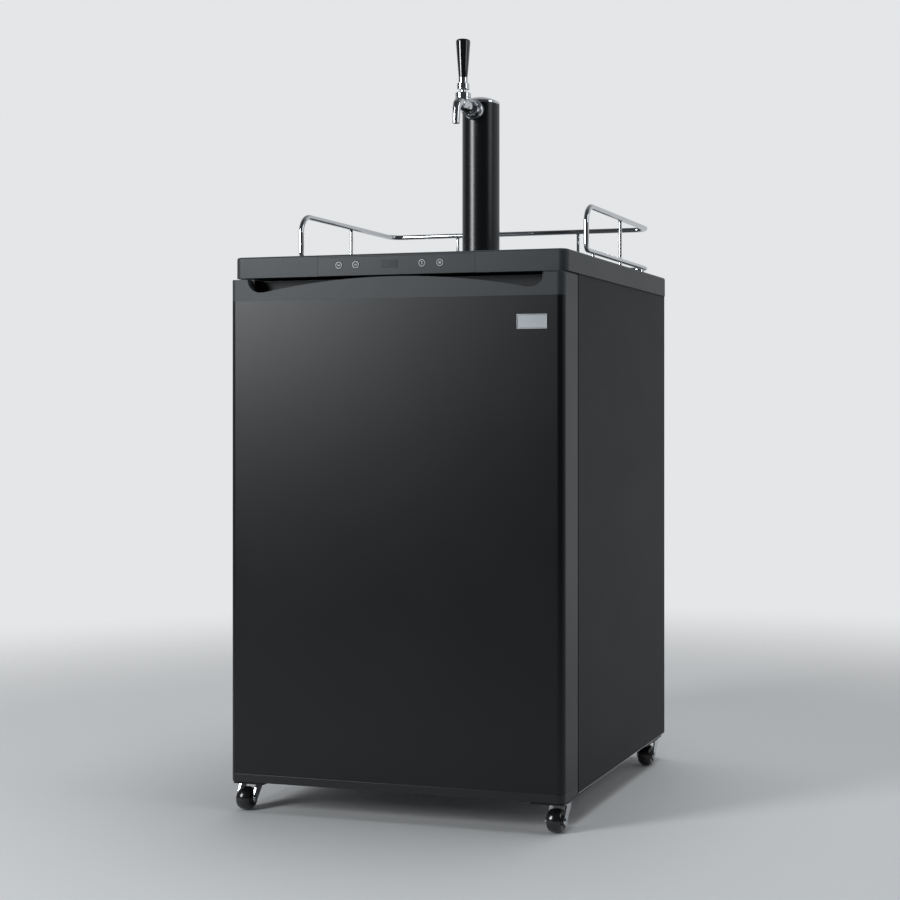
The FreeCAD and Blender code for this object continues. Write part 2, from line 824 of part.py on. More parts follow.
pump_bolts = [
    fuse(f"mount_bolt_{n}",
         rod(f"mount_bolt_shank_{n}", "z", spot, "Size.mount_bolt_radius", "At.base_z", "At.comp_low"),
         hexagon(f"mount_bolt_head_{n}", "z", spot, "Size.mount_bolt_across", "At.comp_low",
                 "At.comp_low + Size.mount_bolt_head"))
    for n, spot in enumerate(MOUNT_SPOTS)]

relay_box = block("relay_box", (f"{COMP[0]} + Size.comp_radius - Size.relay_sink",
                                f"{COMP[0]} + Size.comp_radius + Size.relay_wide"),
                  (f"{COMP[1]} - Size.relay_deep / 2", f"{COMP[1]} + Size.relay_deep / 2"),
                  ("At.comp_low + Size.relay_up", "At.comp_low + Size.relay_up + Size.relay_high"))
keep("compressor", group("compressor", [pump, cut("start_relay", relay_box, pot)]))

tray_low = "At.comp_top"
TRAY_X = (f"{COMP[0]} - Size.tray_half", f"{COMP[0]} + Size.tray_half")
TRAY_Y = (f"{COMP[1]} - Size.tray_deep / 2", f"{COMP[1]} + Size.tray_deep / 2")
tray_box = block("tray_box", TRAY_X, TRAY_Y, (tray_low, f"{tray_low} + Size.tray_high"))
tray_hollow = block("tray_hollow", (f"{TRAY_X[0]} + Size.tray_wall", f"{TRAY_X[1]} - Size.tray_wall"),
                    (f"{TRAY_Y[0]} + Size.tray_wall", f"{TRAY_Y[1]} - Size.tray_wall"),
                    (f"{tray_low} + Size.tray_wall", f"{tray_low} + Size.tray_high + Size.past"))
drip_pan = cut("drip_pan", tray_box, tray_hollow)
drain_tube = tube("drain_tube", "z", DRAIN, "Size.drain_radius", "Size.drain_radius - Size.drain_wall",
                  f"{tray_low} + Size.tray_high - Size.drain_dip", "At.hump_top")
keep("evaporating_tray", group("evaporating_tray", [drip_pan, drain_tube]))

# the condenser is one tube bent to and fro between two drilled plates
coil_y = value("At.skin_back - Size.coil_in")
coil_z = value("At.pan_top + Size.coil_low")
turn = value("Size.coil_pitch")
coil_points = []
for run in range(int(value("Size.coil_runs"))):
    ends = [V(value("Size.coil_left"), coil_y, coil_z + run * turn),
            V(value("Size.coil_right"), coil_y, coil_z + run * turn)]
    coil_points += ends if run % 2 == 0 else ends[::-1]
coil_bends = [value("Size.coil_bend")] * (len(coil_points) - 2)
coil = bent_tube("condenser_coil", coil_points, coil_bends, value("Size.coil_radius"))
coil_plates = []
for side, spot in (("left", "Size.coil_left + Size.coil_plate_in"),
                   ("right", "Size.coil_right - Size.coil_plate_in - Size.coil_plate_thick")):
    plate = block(f"coil_plate_{side}", (spot, f"{spot} + Size.coil_plate_thick"),
                  ("At.skin_back - Size.coil_in - Size.coil_plate_half",
                   "At.skin_back - Size.coil_in + Size.coil_plate_half"),
                  ("At.pan_top", "At.pan_top + Size.coil_low + Size.coil_runs * Size.coil_pitch"))
    holes = [rod(f"coil_hole_{side}_{run}", "x",
                 ("At.skin_back - Size.coil_in", f"At.pan_top + Size.coil_low + {run} * Size.coil_pitch"),
                 "Size.coil_radius + Size.run_fit", f"{spot} - Size.past", f"{spot} + Size.far_past")
             for run in range(int(value("Size.coil_runs")))]
    coil_plates.append(cut(f"coil_support_{side}", plate, *holes))
keep("condenser", group("condenser", [coil] + coil_plates))

cover_sheet = block("cover_sheet", SKIN_X, ("At.skin_back", "At.cab_back"),
                    ("At.pan_top", "At.bay_top + Size.sheet_thick"))
slots = []
for column in range(-2, 2):
    low = f"{column} * (Size.slot_wide + Size.slot_gap) + Size.slot_gap / 2"
    for row in range(int(value("Size.slot_count"))):
        slot_z = f"At.pan_top + Size.slot_low + {row} * Size.slot_pitch"
        slots.append(block(f"slot_{column + 2}_{row}", (low, f"{low} + Size.slot_wide"),
                     ("At.skin_back - Size.past", "At.cab_back + Size.past"),
                     (slot_z, f"{slot_z} + Size.slot_high")))
COVER_SCREWS = [(f"{side} * (At.skin_x - Size.return_wide / 2)", f"At.pan_top + {level}")
                for side in (-1, 1) for level in ("Size.cover_screw_in", "(At.bay_top - At.pan_top) / 2",
                                                  "At.bay_top - At.pan_top - Size.cover_screw_in")]
cover_holes = [rod(f"cover_hole_{n}", "y", spot, "Size.screw_radius", "At.skin_back - Size.far_past",
                   "At.cab_back + Size.far_past")
               for n, spot in enumerate(COVER_SCREWS)]
GLAND = ("-Size.gland_from_middle", "At.pan_top + Size.gland_high")
gland_hole = rod("gland_hole", "y", GLAND, "Size.gland_radius", "At.skin_back - Size.far_past",
                 "At.cab_back + Size.far_past")
keep("bay_cover", cut("bay_cover", cover_sheet, *slots, *cover_holes, gland_hole))
keep("side_panels", group("side_panels", [cut("side_left", panel_left, *cover_holes[:3]),
                                          cut("side_right", panel_right, *cover_holes[3:])]))


def screws(name, axis, spots, radius, head, thick, tip, face, out):
    """Pan-headed screws; out is +1 or -1, the way the heads point from the face."""
    made = []
    for n, spot in enumerate(spots):
        shank = rod(f"{name}_shank_{n}", axis, spot, radius, *((tip, face) if out > 0 else (face, tip)))
        ends = (face, f"{face} + {thick}") if out > 0 else (f"{face} - {thick}", face)
        made.append(fuse(f"{name}_{n}", shank, rod(f"{name}_head_{n}", axis, spot, head, *ends)))
    return made


cover_screws = screws("cover_screw", "y", COVER_SCREWS, "Size.screw_radius", "Size.screw_head_radius",
                      "Size.screw_head_thick",
       "At.skin_back - Size.sheet_thick", "At.cab_back", 1)
gland_body = fuse("gland_body",
                  rod("gland_barrel", "y", GLAND, "Size.gland_radius", "At.skin_back - Size.gland_inside",
                      "At.cab_back"),
                  rod("gland_flange", "y", GLAND, "Size.gland_flange_radius", "At.cab_back",
                      "At.cab_back + Size.gland_flange_thick"))
gland_bore = rod("gland_bore", "y", GLAND, "Size.gland_bore", "At.skin_back - Size.gland_inside - Size.past",
                 "At.cab_back + Size.far_past")
cord_gland = cut("cord_gland", gland_body, gland_bore)
keep("pass_through_sleeves", group("pass_through_sleeves", [line_sleeve, gas_sleeve, cord_gland]))

# ---- plates and casters ----

CORNERS = {
    "front_left": (-1, "At.caster_front"),
    "front_right": (1, "At.caster_front"),
    "rear_left": (-1, "At.caster_rear"),
    "rear_right": (1, "At.caster_rear"),
}
HINGE = ("At.hinge_x", "At.hinge_y")
plate_spans = {
    "front": ("At.door_front + Size.plate_front_in", "At.plate_back"),
    "rear": ("At.caster_rear - Size.rear_plate_ahead", "At.caster_rear + Size.rear_plate_behind"),
}
bolt_rows = {"front": "At.plate_back - Size.plate_bolt_in",
             "rear": "At.caster_rear - Size.rear_plate_ahead + Size.plate_bolt_in"}
bolt_spots = []
plates = {}
for corner, (side, king_y) in CORNERS.items():
    end = corner.split("_")[0]
    spots = [(f"{side} * (At.plate_inner + Size.plate_bolt_in)", bolt_rows[end]),
             (f"{side} * (At.cab_x - Size.plate_bolt_in)", bolt_rows[end])]
    bolt_spots += spots
    inner, outer = (f"{side} * {x}" for x in ("At.plate_inner", "At.cab_x"))
    span = (inner, outer) if side > 0 else (outer, inner)
    sheet = block(f"plate_sheet_{corner}", span, plate_spans[end], ("At.plate_low", "At.base_z"))
    drills = [rod(f"king_hole_{corner}", "z", (f"{side} * At.caster_x", king_y), "Size.king_radius",
                  "At.plate_low - Size.past", "At.base_z + Size.past")]
    drills += [rod(f"plate_hole_{corner}_{n}", "z", spot, "Size.plate_bolt_radius",
                   "At.plate_low - Size.past",
                   "At.base_z + Size.past") for n, spot in enumerate(spots)]
    if corner == "front_right":
        drills.append(rod("pin_hole", "z", HINGE, "Size.hinge_pin_radius", "At.plate_low - Size.past",
                          "At.base_z + Size.past"))
    plates[corner] = cut(f"plate_{corner}", sheet, *drills)
keep("caster_plates", group("caster_plates", list(plates.values())))
pan_holes = [rod(f"pan_hole_{n}", "z", spot, "Size.plate_bolt_radius", "At.base_z - Size.past",
                 "At.pan_top + Size.past")
             for n, spot in enumerate(bolt_spots)]
keep("base_pan", cut("base_pan", pan, *foot_holes, *pan_holes))
plate_bolts = screws("plate_bolt", "z", bolt_spots, "Size.plate_bolt_radius", "Size.plate_bolt_head",
                     "Size.plate_bolt_head_thick", "At.pan_top", "At.plate_low", -1)
keep("base_bolts", group("base_bolts", pump_bolts + plate_bolts))

king_low = "At.crown_low - Size.king_play"
kings = []
races = []
for corner, (side, king_y) in CORNERS.items():
    king = (f"{side} * At.caster_x", king_y)
    kings.append(fuse(f"king_{corner}",
                      rod(f"king_shank_{corner}", "z", king, "Size.king_radius", king_low, "At.base_z"),
                      rod(f"king_head_{corner}", "z", king, "Size.king_head_radius",
                          f"{king_low} - Size.king_head_thick", king_low)))
    races.append(tube(f"race_{corner}", "z", king, "Size.race_radius", "Size.king_radius + Size.run_fit",
                      "At.crown_high + Size.king_play", "At.plate_low"))

    axle_y = f"{king_y} - Size.caster_trail"
    centre = f"{side} * At.caster_x"
    axle_at = (axle_y, "Size.wheel_radius")
    arms = []
    for hand in (-1, 1):
        near = f"{centre} + {hand} * At.arm_{'inner' if hand > 0 else 'outer'}"
        body = doc.addObject("PartDesign::Body", f"arm_{corner}_{'right' if hand > 0 else 'left'}")
        sketch = new_sketch(body, f"{body.Name}_side", "YZ_Plane", near)
        ahead, behind = f"{king_y} - Size.crown_ahead", f"{king_y} + Size.crown_behind"
        outline(sketch, [(f"{axle_y} - Size.arm_ahead", "Size.wheel_radius + Size.arm_ahead_up"),
                         (ahead, "At.crown_low"), (ahead, "At.crown_high"), (behind, "At.crown_high"),
                         (behind, "At.crown_low - Size.crown_skirt"),
                         (f"{axle_y} + Size.arm_behind", "Size.wheel_radius - Size.arm_behind_down")])
        pad(body, sketch, "Size.arm_thick")
        eye = rod(f"{body.Name}_eye", "x", axle_at, "Size.arm_end_radius", near, f"{near} + Size.arm_thick")
        arms += [body, eye]
    crown = rod(f"crown_disc_{corner}", "z", king, "Size.crown_radius", "At.crown_low", "At.crown_high")
    bridge = block(f"crown_bridge_{corner}", (f"{centre} - At.arm_outer", f"{centre} + At.arm_outer"),
                   (ahead, behind), ("At.crown_low", "At.crown_high"))
    fork_holes = [rod(f"crown_hole_{corner}", "z", king, "Size.king_radius + Size.run_fit",
                      "At.crown_low - Size.past", "At.crown_high + Size.past"),
                  rod(f"axle_hole_{corner}", "x", axle_at, "Size.axle_radius",
                      f"{centre} - At.arm_outer - Size.past", f"{centre} + At.arm_outer + Size.past")]
    fork = cut(f"fork_{corner}", fuse(f"fork_solid_{corner}", crown, bridge, *arms), *fork_holes)

    axle_pieces = [rod(f"axle_pin_{corner}", "x", axle_at, "Size.axle_radius", f"{centre} - At.arm_outer",
                       f"{centre} + At.arm_outer")]
    axle_pieces += [
        rod(f"axle_head_low_{corner}", "x", axle_at, "Size.axle_head_radius",
            f"{centre} - At.arm_outer - Size.axle_head_thick", f"{centre} - At.arm_outer"),
        rod(f"axle_head_high_{corner}", "x", axle_at, "Size.axle_head_radius", f"{centre} + At.arm_outer",
            f"{centre} + At.arm_outer + Size.axle_head_thick")]
    axle = fuse(f"axle_{corner}", *axle_pieces)
    keep(f"caster_fork_{corner}", group(f"caster_fork_{corner}", [fork, axle]))

    wheel = doc.addObject("PartDesign::Body", f"wheel_{corner}")
    sketch = new_sketch(wheel, f"wheel_{corner}_side", "YZ_Plane", "-Size.wheel_wide / 2")
    sketch.addGeometry(Part.Circle(V(), V(0, 0, 1), value("Size.wheel_radius")))
    sketch.addGeometry(Part.Circle(V(), V(0, 0, 1), value("Size.axle_radius")))
    for index, radius in enumerate(("Size.wheel_radius", "Size.axle_radius + Size.run_fit")):
        sketch.addConstraint(Sketcher.Constraint("Coincident", index, 3, -1, 1))
        number = sketch.addConstraint(Sketcher.Constraint("Radius", index, value(radius)))
        sketch.setExpression(f"Constraints[{number}]", radius)
    disc = pad(wheel, sketch, "Size.wheel_wide")
    tread = value("Size.wheel_radius")
    round_edges(wheel, disc, "Size.wheel_round", lambda edge: abs(edge.BoundBox.ZLength - 2 * tread) < 0.1)
    base_at(wheel, centre, axle_y, "Size.wheel_radius")
    keep(f"caster_wheel_{corner}", wheel)
keep("caster_pivots", group("caster_pivots", kings + races))

# ---- door ----

DOOR_Y = ("At.door_front", "At.door_back")
SKIN_Z = ("At.skin_low", "At.skin_high")
inset_x = "At.door_x - Size.sheet_thick"
INNER_X = (f"-({inset_x})", inset_x)
shell = plan_body("door_shell", ("-At.door_x", "At.door_x"), DOOR_Y, SKIN_Z, "Size.door_round")
core = plan_body("door_core", INNER_X, ("At.door_front + Size.sheet_thick", "At.door_back + Size.far_past"),
                 ("At.skin_low - Size.past", "At.skin_high + Size.past"),
                 "Size.door_round - Size.sheet_thick")
keep("door_skin", cut("door_skin", shell, core))
foam_back = "At.door_back - Size.door_liner_thick"
foam = plan_body("door_foam_body", INNER_X, ("At.door_front + Size.sheet_thick", foam_back), SKIN_Z,
                    "Size.door_round - Size.sheet_thick")
keep("door_foam", foam)
keep("door_liner", block("door_liner", INNER_X, (foam_back, "At.door_back"), SKIN_Z))

SEAL_Z = ("At.door_low + Size.gasket_high_in", "At.door_high - Size.gasket_high_in")
SEAL_Y = ("At.door_back", "At.cab_front - Size.soft_gap")
seal_x = "At.hinge_x - Size.gasket_off_hinge"
seal_ring = block("seal_ring", (f"-({seal_x})", seal_x), SEAL_Y, SEAL_Z)
seal_hole = block("seal_hole", (f"-({seal_x} - Size.gasket_wide)", f"{seal_x} - Size.gasket_wide"),
                  ("At.door_back - Size.past", "At.cab_front + Size.past"),
                  (f"{SEAL_Z[0]} + Size.gasket_wide", f"{SEAL_Z[1]} - Size.gasket_wide"))
keep("door_gasket", cut("door_gasket", seal_ring, seal_hole))

top_cap = plan_body("top_cap", ("-At.door_x", "At.door_x"), DOOR_Y, ("At.skin_high", "At.door_high"),
                       "Size.door_round")
base_cap = plan_body("base_cap", ("-At.door_x", "At.door_x"), DOOR_Y, ("At.door_low", "At.skin_low"),
                        "Size.door_round")
bush_top = rod("bush_seat_top", "z", HINGE, "Size.bush_radius", "At.door_high - Size.bush_deep",
               "At.door_high + Size.past")
bush_base = rod("bush_seat_base", "z", HINGE, "Size.bush_radius", "At.door_low - Size.past",
                "At.door_low + Size.bush_deep")
low_z = "At.door_high - Size.scoop_dip"
big = "(((Size.scoop_low_x - Size.scoop_inner_x) ^ 2 + Size.scoop_dip ^ 2) / (2 * Size.scoop_dip))"
small_x = "(Size.scoop_outer_x - Size.scoop_dip)"
scoops = []
for side, mark in ((-1, "left"), (1, "right")):
    LIP_Y = ("At.door_front - Size.past", "At.door_front + Size.scoop_lip + Size.past")
    wheel_cut = rod(f"lip_sweep_{mark}", "y", (f"{side} * Size.scoop_low_x", f"{low_z} + {big}"), big,
                    *LIP_Y)
    ends = (f"{side} * Size.scoop_inner_x", f"{side} * Size.scoop_low_x")
    window = block(f"lip_window_{mark}", ends if side > 0 else ends[::-1], LIP_Y,
                   (f"{low_z} - Size.past", "At.door_high + Size.past"))
    ends = (f"{side} * (Size.scoop_low_x - Size.lap)", f"{side} * {small_x}")
    flat = block(f"lip_flat_{mark}", ends if side > 0 else ends[::-1], LIP_Y,
                 (low_z, "At.door_high + Size.past"))
    round_end = rod(f"lip_end_{mark}", "y", (f"{side} * {small_x}", "At.door_high"), "Size.scoop_dip",
                    *LIP_Y)
    ends = (f"{side} * (Size.scoop_inner_x - Size.well_past_inner)",
            f"{side} * (Size.scoop_outer_x - Size.well_off_outer)")
    well = block(f"scoop_well_{mark}", ends if side > 0 else ends[::-1],
                 ("At.door_front + Size.scoop_lip", "At.scoop_back"),
                 ("At.skin_high + Size.scoop_floor", "At.door_high + Size.past"))
    scoops += [common(f"lip_curve_{mark}", wheel_cut, window), flat, round_end, well]
top_bush = tube("top_bush", "z", HINGE, "Size.bush_radius", "Size.hinge_pin_radius + Size.run_fit",
                "At.door_high - Size.bush_deep", "At.door_high")
base_bush = tube("base_bush", "z", HINGE, "Size.bush_radius", "Size.hinge_pin_radius + Size.run_fit",
                 "At.door_low", "At.door_low + Size.bush_deep")
keep("door_handle_trim", group("door_handle_trim", [cut("handle_trim", top_cap, bush_top, *scoops),
                                                    top_bush]))
keep("door_base_trim", group("door_base_trim", [cut("base_trim", base_cap, bush_base), base_bush]))
badge_right = "At.door_x - Size.badge_side_in"
keep("blank_badge", block("blank_badge", (f"{badge_right} - Size.badge_wide", badge_right),
                          ("At.front_y", "At.door_front"),
                          ("At.door_high - Size.badge_down - Size.badge_high",
                           "At.door_high - Size.badge_down")))

# ---- hinges ----

leaf_top = "At.hinge_plate_z + Size.hinge_plate_thick"
HALF = ("At.hinge_x - Size.hinge_plate_half", "At.hinge_x + Size.hinge_plate_half")
leaf = block("hinge_leaf", HALF, ("At.hinge_y - Size.hinge_leaf_ahead", "At.cab_front"),
             ("At.hinge_plate_z", leaf_top))
leg = block("hinge_leg", HALF, ("At.cab_front - Size.hinge_plate_thick", "At.cab_front"),
            (f"{leaf_top} - Size.hinge_leg_high", leaf_top))
leaf_hole = rod("leaf_hole", "z", HINGE, "Size.hinge_pin_radius", "At.door_high", "At.cab_top")
bracket = cut("hinge_bracket", fuse("top_hinge_solid", leaf, leg), leaf_hole, *frame_holes)
pins = [
    rod("hinge_pin_top", "z", HINGE, "Size.hinge_pin_radius", "At.door_high - Size.hinge_pin_reach",
        leaf_top),
    rod("hinge_pin_base", "z", HINGE, "Size.hinge_pin_radius", "At.plate_low",
        "At.door_low + Size.hinge_pin_reach")]
washer = tube("hinge_washer", "z", HINGE, "Size.bush_radius + Size.hinge_washer_over",
              "Size.hinge_pin_radius + Size.run_fit",
              "At.base_z", "At.door_low - Size.soft_gap")
keep("hinge_hardware", group("hinge_hardware", [bracket, washer] + pins))
hinge_screws = screws("hinge_screw", "y", HINGE_SCREWS, "Size.screw_radius", "Size.screw_head_radius",
                      "Size.screw_head_thick",
       "At.cab_front + Size.sheet_thick", "At.cab_front - Size.hinge_plate_thick", -1)

# ---- worktop and controls ----

slab_body = plan_body("worktop_slab", ("-At.top_x", "At.top_x"), ("At.top_front", "At.top_back"),
                                  ("At.cab_top", "At.top_z"), "Size.top_round", front_only=False)
deck = value("At.top_z")
round_edges(slab_body, slab_body.Tip, "Size.top_edge_round",
            lambda edge: edge.BoundBox.ZLength < 0.01 and abs(edge.BoundBox.ZMax - deck) < 0.01)
inside_x = "At.top_x - Size.top_wall"
under = block("worktop_under", (f"-({inside_x})", inside_x),
              ("At.cab_front", "At.top_back - Size.top_wall"),
              ("At.cab_top - Size.past", "At.top_z - Size.top_wall"))
PANEL_X = ("-Size.panel_half", "Size.panel_half")
recess = block("panel_recess", PANEL_X, ("At.top_front - Size.past", "At.panel_y"),
               ("At.cab_top - Size.past", "At.top_z - Size.panel_lip"))
control_bay = block("control_bay", ("-Size.panel_half + Size.control_bay_side",
                                    "Size.panel_half - Size.control_bay_side"),
                    ("At.panel_y - Size.past", "At.top_front + Size.control_bay_deep"),
                    ("At.cab_top + Size.control_bay_up", "At.top_z - Size.panel_lip"))
RING_SPOTS = [(f"{i} * Size.flange_screw_ring / sqrt(2)",
              f"At.tower_y + {j} * Size.flange_screw_ring / sqrt(2)") for i in (-1, 1) for j in (-1, 1)]
deep_z = "At.top_z + Size.flange_thick - Size.flange_screw_deep"
tower_holes = [rod(f"tower_hole_{n}", "z", spot, "Size.flange_screw_radius", deep_z,
                   "At.top_z + Size.flange_thick + Size.far_past")
               for n, spot in enumerate(RING_SPOTS)]
PEGS = [(f"{side} * At.rail_x", y) for side in (-1, 1)
        for y in ("At.rail_front + Size.peg_in", "At.rod_y", "At.rail_back - Size.peg_in")]
PEGS += [(f"{side} * Size.rod_from_middle", "At.rail_back") for side in (-1, 1)]
peg_low = "At.top_z - Size.peg_deep"
peg_holes = [rod(f"peg_hole_{n}", "z", spot, "Size.peg_radius", peg_low, "At.top_z + Size.far_past")
             for n, spot in enumerate(PEGS)]
keep("worktop", cut("worktop", slab_body, under, recess, control_bay, line_hole, *tower_holes, *peg_holes))
slack = "Size.panel_gap"
deck_core = block("deck_core", (f"-({inside_x}) + {slack}", f"{inside_x} - {slack}"),
                  (f"At.cab_front + {slack}", f"At.top_back - Size.top_wall - {slack}"),
                  ("At.cab_top", f"At.top_z - Size.top_wall - {slack} / 2"))
top_core = cut("top_core", deck_core, line_hole, *tower_holes, *peg_holes)

BUTTONS = {"button_down": "Size.button_down_x", "button_up": "Size.button_up_x",
           "button_unit": "Size.button_unit_x", "button_chill": "Size.button_chill_x"}
face = block("panel_face", ("-Size.panel_half + Size.soft_gap", "Size.panel_half - Size.soft_gap"),
             ("At.top_front", "At.panel_y"),
             ("At.cab_top + Size.soft_gap", "At.top_z - Size.panel_lip - Size.soft_gap"))
BOSSES = [(f"{side} * (Size.board_half - Size.boss_in)",
          f"At.panel_z + {level} * (Size.board_tall / 2 - Size.boss_in)") for side in (-1, 1)
          for level in (-1, 1)]
bosses = [rod(f"panel_boss_{n}", "y", spot, "Size.boss_radius", "At.panel_y", "At.board_y")
          for n, spot in enumerate(BOSSES)]
button_holes = [rod(f"{node}_hole", "y", (x, "At.panel_z"), "Size.button_radius + Size.soft_gap",
                    "At.top_front - Size.past", "At.panel_y + Size.past") for node, x in BUTTONS.items()]
WINDOW_X = ("Size.window_middle - Size.window_half", "Size.window_middle + Size.window_half")
WINDOW_Z = ("At.panel_z - Size.window_tall / 2", "At.panel_z + Size.window_tall / 2")
window_seat = block("window_seat", WINDOW_X, ("At.top_front - Size.past",
                                              "At.top_front + Size.window_thick"), WINDOW_Z)
panel_plate = cut("panel_plate", fuse("panel_solid", face, *bosses), window_seat, *button_holes)
keep("display_window", block("display_window", WINDOW_X, ("At.top_front",
                                                          "At.top_front + Size.window_thick"),
                             WINDOW_Z))
board = block("board", ("-Size.board_half", "Size.board_half"),
              ("At.board_y", "At.board_y + Size.board_thick"),
              ("At.panel_z - Size.board_tall / 2", "At.panel_z + Size.board_tall / 2"))
switches = []
for node, x in BUTTONS.items():
    front = "At.board_y - Size.switch_thick"
    switches.append(block(f"{node}_switch", (f"{x} - Size.switch_half", f"{x} + Size.switch_half"),
                          (front, "At.board_y"), ("At.panel_z - Size.switch_half",
                                                  "At.panel_z + Size.switch_half")))
    switches.append(rod(f"{node}_nub", "y", (x, "At.panel_z"), "Size.switch_nub_radius",
                        f"{front} - Size.switch_nub", front))
    flange_y = "At.panel_y + Size.soft_gap"
    keep(node, fuse(node,
                    rod(f"{node}_cap", "y", (x, "At.panel_z"), "Size.button_radius",
                        "At.top_front - Size.button_proud", flange_y),
                    rod(f"{node}_flange", "y", (x, "At.panel_z"), "Size.button_flange_radius", flange_y,
                        f"{flange_y} + Size.button_flange_thick"),
                    rod(f"{node}_stem", "y", (x, "At.panel_z"), "Size.button_stem_radius",
                        f"{flange_y} + Size.button_flange_thick",
                        f"{front} - Size.switch_nub - Size.button_travel - Size.soft_gap")))
keep("control_panel", group("control_panel", [panel_plate, fuse("control_board", board, *switches)]))

# ---- tower ----

TOWER = ("0", "At.tower_y")
SHANK = ("0", "At.shank_z")
shank_hole = rod("shank_hole", "y", SHANK, "Size.shank_radius + Size.run_fit",
                 "At.ring_y - Size.far_past", "At.saddle_y + Size.far_past")
column = tube("column", "z", TOWER, "Size.tower_radius", "Size.tower_radius - Size.tower_wall",
              "At.top_z + Size.flange_seat", "At.column_top")
keep("tower_column", cut("tower_column", column, shank_hole))
disc = taper("flange_disc", "z", TOWER, ("Size.flange_radius", "Size.flange_radius - Size.flange_taper"),
             "At.top_z",
             "At.top_z + Size.flange_thick")
seat = rod("flange_socket", "z", TOWER, "Size.tower_radius + Size.run_fit", "At.top_z + Size.flange_seat",
           "At.top_z + Size.flange_thick + Size.far_past")
keep("tower_flange", cut("tower_flange", disc, seat, line_hole, *tower_holes))
tower_screws = screws("tower_screw", "z", RING_SPOTS, "Size.flange_screw_radius", "Size.flange_screw_head",
                      "Size.flange_screw_head_thick", deep_z, "At.top_z + Size.flange_thick", 1)
keep("pan_head_screws", group("pan_head_screws", cover_screws + hinge_screws + tower_screws))

rim = "(Size.tower_radius + Size.cap_over)"
dome = f"(({rim} ^ 2 + Size.cap_dome ^ 2) / (2 * Size.cap_dome))"
dome_ball = ball("dome_ball", ("0", "At.tower_y", f"At.tower_top - {dome}"), dome)
cap_drum = rod("cap_drum", "z", TOWER, rim, "At.column_top", "At.tower_top + Size.past")
spigot = rod("cap_spigot", "z", TOWER, "Size.tower_radius - Size.tower_wall - Size.run_fit",
             "At.column_top - Size.cap_spigot", "At.column_top + Size.past")
keep("tower_cap", fuse("tower_cap", common("cap_dome", dome_ball, cap_drum), spigot))

tower_foam = tube("tower_foam", "z", TOWER, "Size.tower_radius - Size.tower_wall - Size.soft_gap",
                  "Size.sleeve_bore", "At.top_z + Size.flange_thick + Size.tower_foam_up",
                  "At.elbow_low - Size.tower_foam_down")
keep("top_insulation", group("top_insulation", [top_core, tower_foam]))

# ---- shank and its fittings ----

shank_pipe = fuse("shank_pipe",
                  rod("shank_thread", "y", SHANK, "Size.shank_radius", "At.ring_y - Size.lap",
                      "At.shank_end"),
                  rod("shank_head", "y", SHANK, "Size.shank_head_radius", "At.shank_head_y", "At.ring_y"))
shank_bore = rod("shank_bore", "y", SHANK, "Size.shank_bore", "At.shank_head_y - Size.past",
                 "At.shank_end + Size.past")
shank = cut("shank_piece", shank_pipe, shank_bore)

column_round = rod("column_round", "z", TOWER, "Size.tower_radius", "At.top_z", "At.tower_top + 50")
ring_cone = taper("ring_cone", "y", SHANK, ("Size.ring_front_radius", "Size.ring_radius"), "At.ring_y",
                  "At.tower_front + Size.ring_wrap")
cap_round = rod("cap_round", "z", TOWER, "Size.tower_radius + Size.cap_over + Size.soft_gap",
                "At.column_top - Size.soft_gap", "At.tower_top + Size.far_past")
keep("beauty_ring", cut("beauty_ring", ring_cone, shank_hole, column_round, cap_round))
saddle_disc = rod("saddle_disc", "y", SHANK, "Size.saddle_radius", "At.tower_front", "At.saddle_y")
column_hollow = rod("column_hollow", "z", TOWER, "Size.tower_radius - Size.tower_wall", "At.top_z",
                    "At.tower_top")
saddle = cut("shank_saddle", common("saddle_solid", saddle_disc, column_hollow), shank_hole)
lock_hex = hexagon("lock_hex", "y", SHANK, "Size.lock_nut_across", "At.saddle_y", "At.lock_y")
lock_bore = rod("lock_bore", "y", SHANK, "Size.shank_radius + Size.run_fit", "At.saddle_y - Size.past",
                "At.lock_y + Size.past")
lock_nut = cut("shank_lock_nut", lock_hex, lock_bore)

coupling_drum = rod("coupling_drum", "y", SHANK, "Size.nut_radius", "At.nut_y", "At.ring_y - Size.soft_gap")
coupling_bore = rod("coupling_bore", "y", SHANK, "Size.shank_head_radius + Size.run_fit",
                    "At.nut_y + Size.nut_lip",
                    "At.ring_y + Size.past")
coupling_lip = rod("coupling_lip", "y", SHANK, "Size.barrel_radius + Size.run_fit",
                   "At.nut_y - Size.past", "At.ring_y")
spanner_holes = []
reach = "(Size.nut_radius - Size.nut_spanner_deep)"
spanner_step = 360 / value("Size.nut_spanner_count")
for n in range(int(value("Size.nut_spanner_count"))):
    angle = spanner_step * (n + 0.5)
    hole = rod(f"spanner_hole_{n}", "z", ("0", "0"), "Size.nut_spanner_radius", "0",
               "Size.nut_spanner_deep + Size.past")
    hole.Placement = FreeCAD.Placement(V(), FreeCAD.Rotation(V(0, 1, 0), angle))
    base_at(hole, f"{reach} * sin({angle} deg)", "At.nut_y + Size.nut_spanner_in",
            f"At.shank_z + {reach} * cos({angle} deg)")
    spanner_holes.append(hole)
keep("coupling_nut", cut("coupling_nut", coupling_drum, coupling_bore, coupling_lip, *spanner_holes))

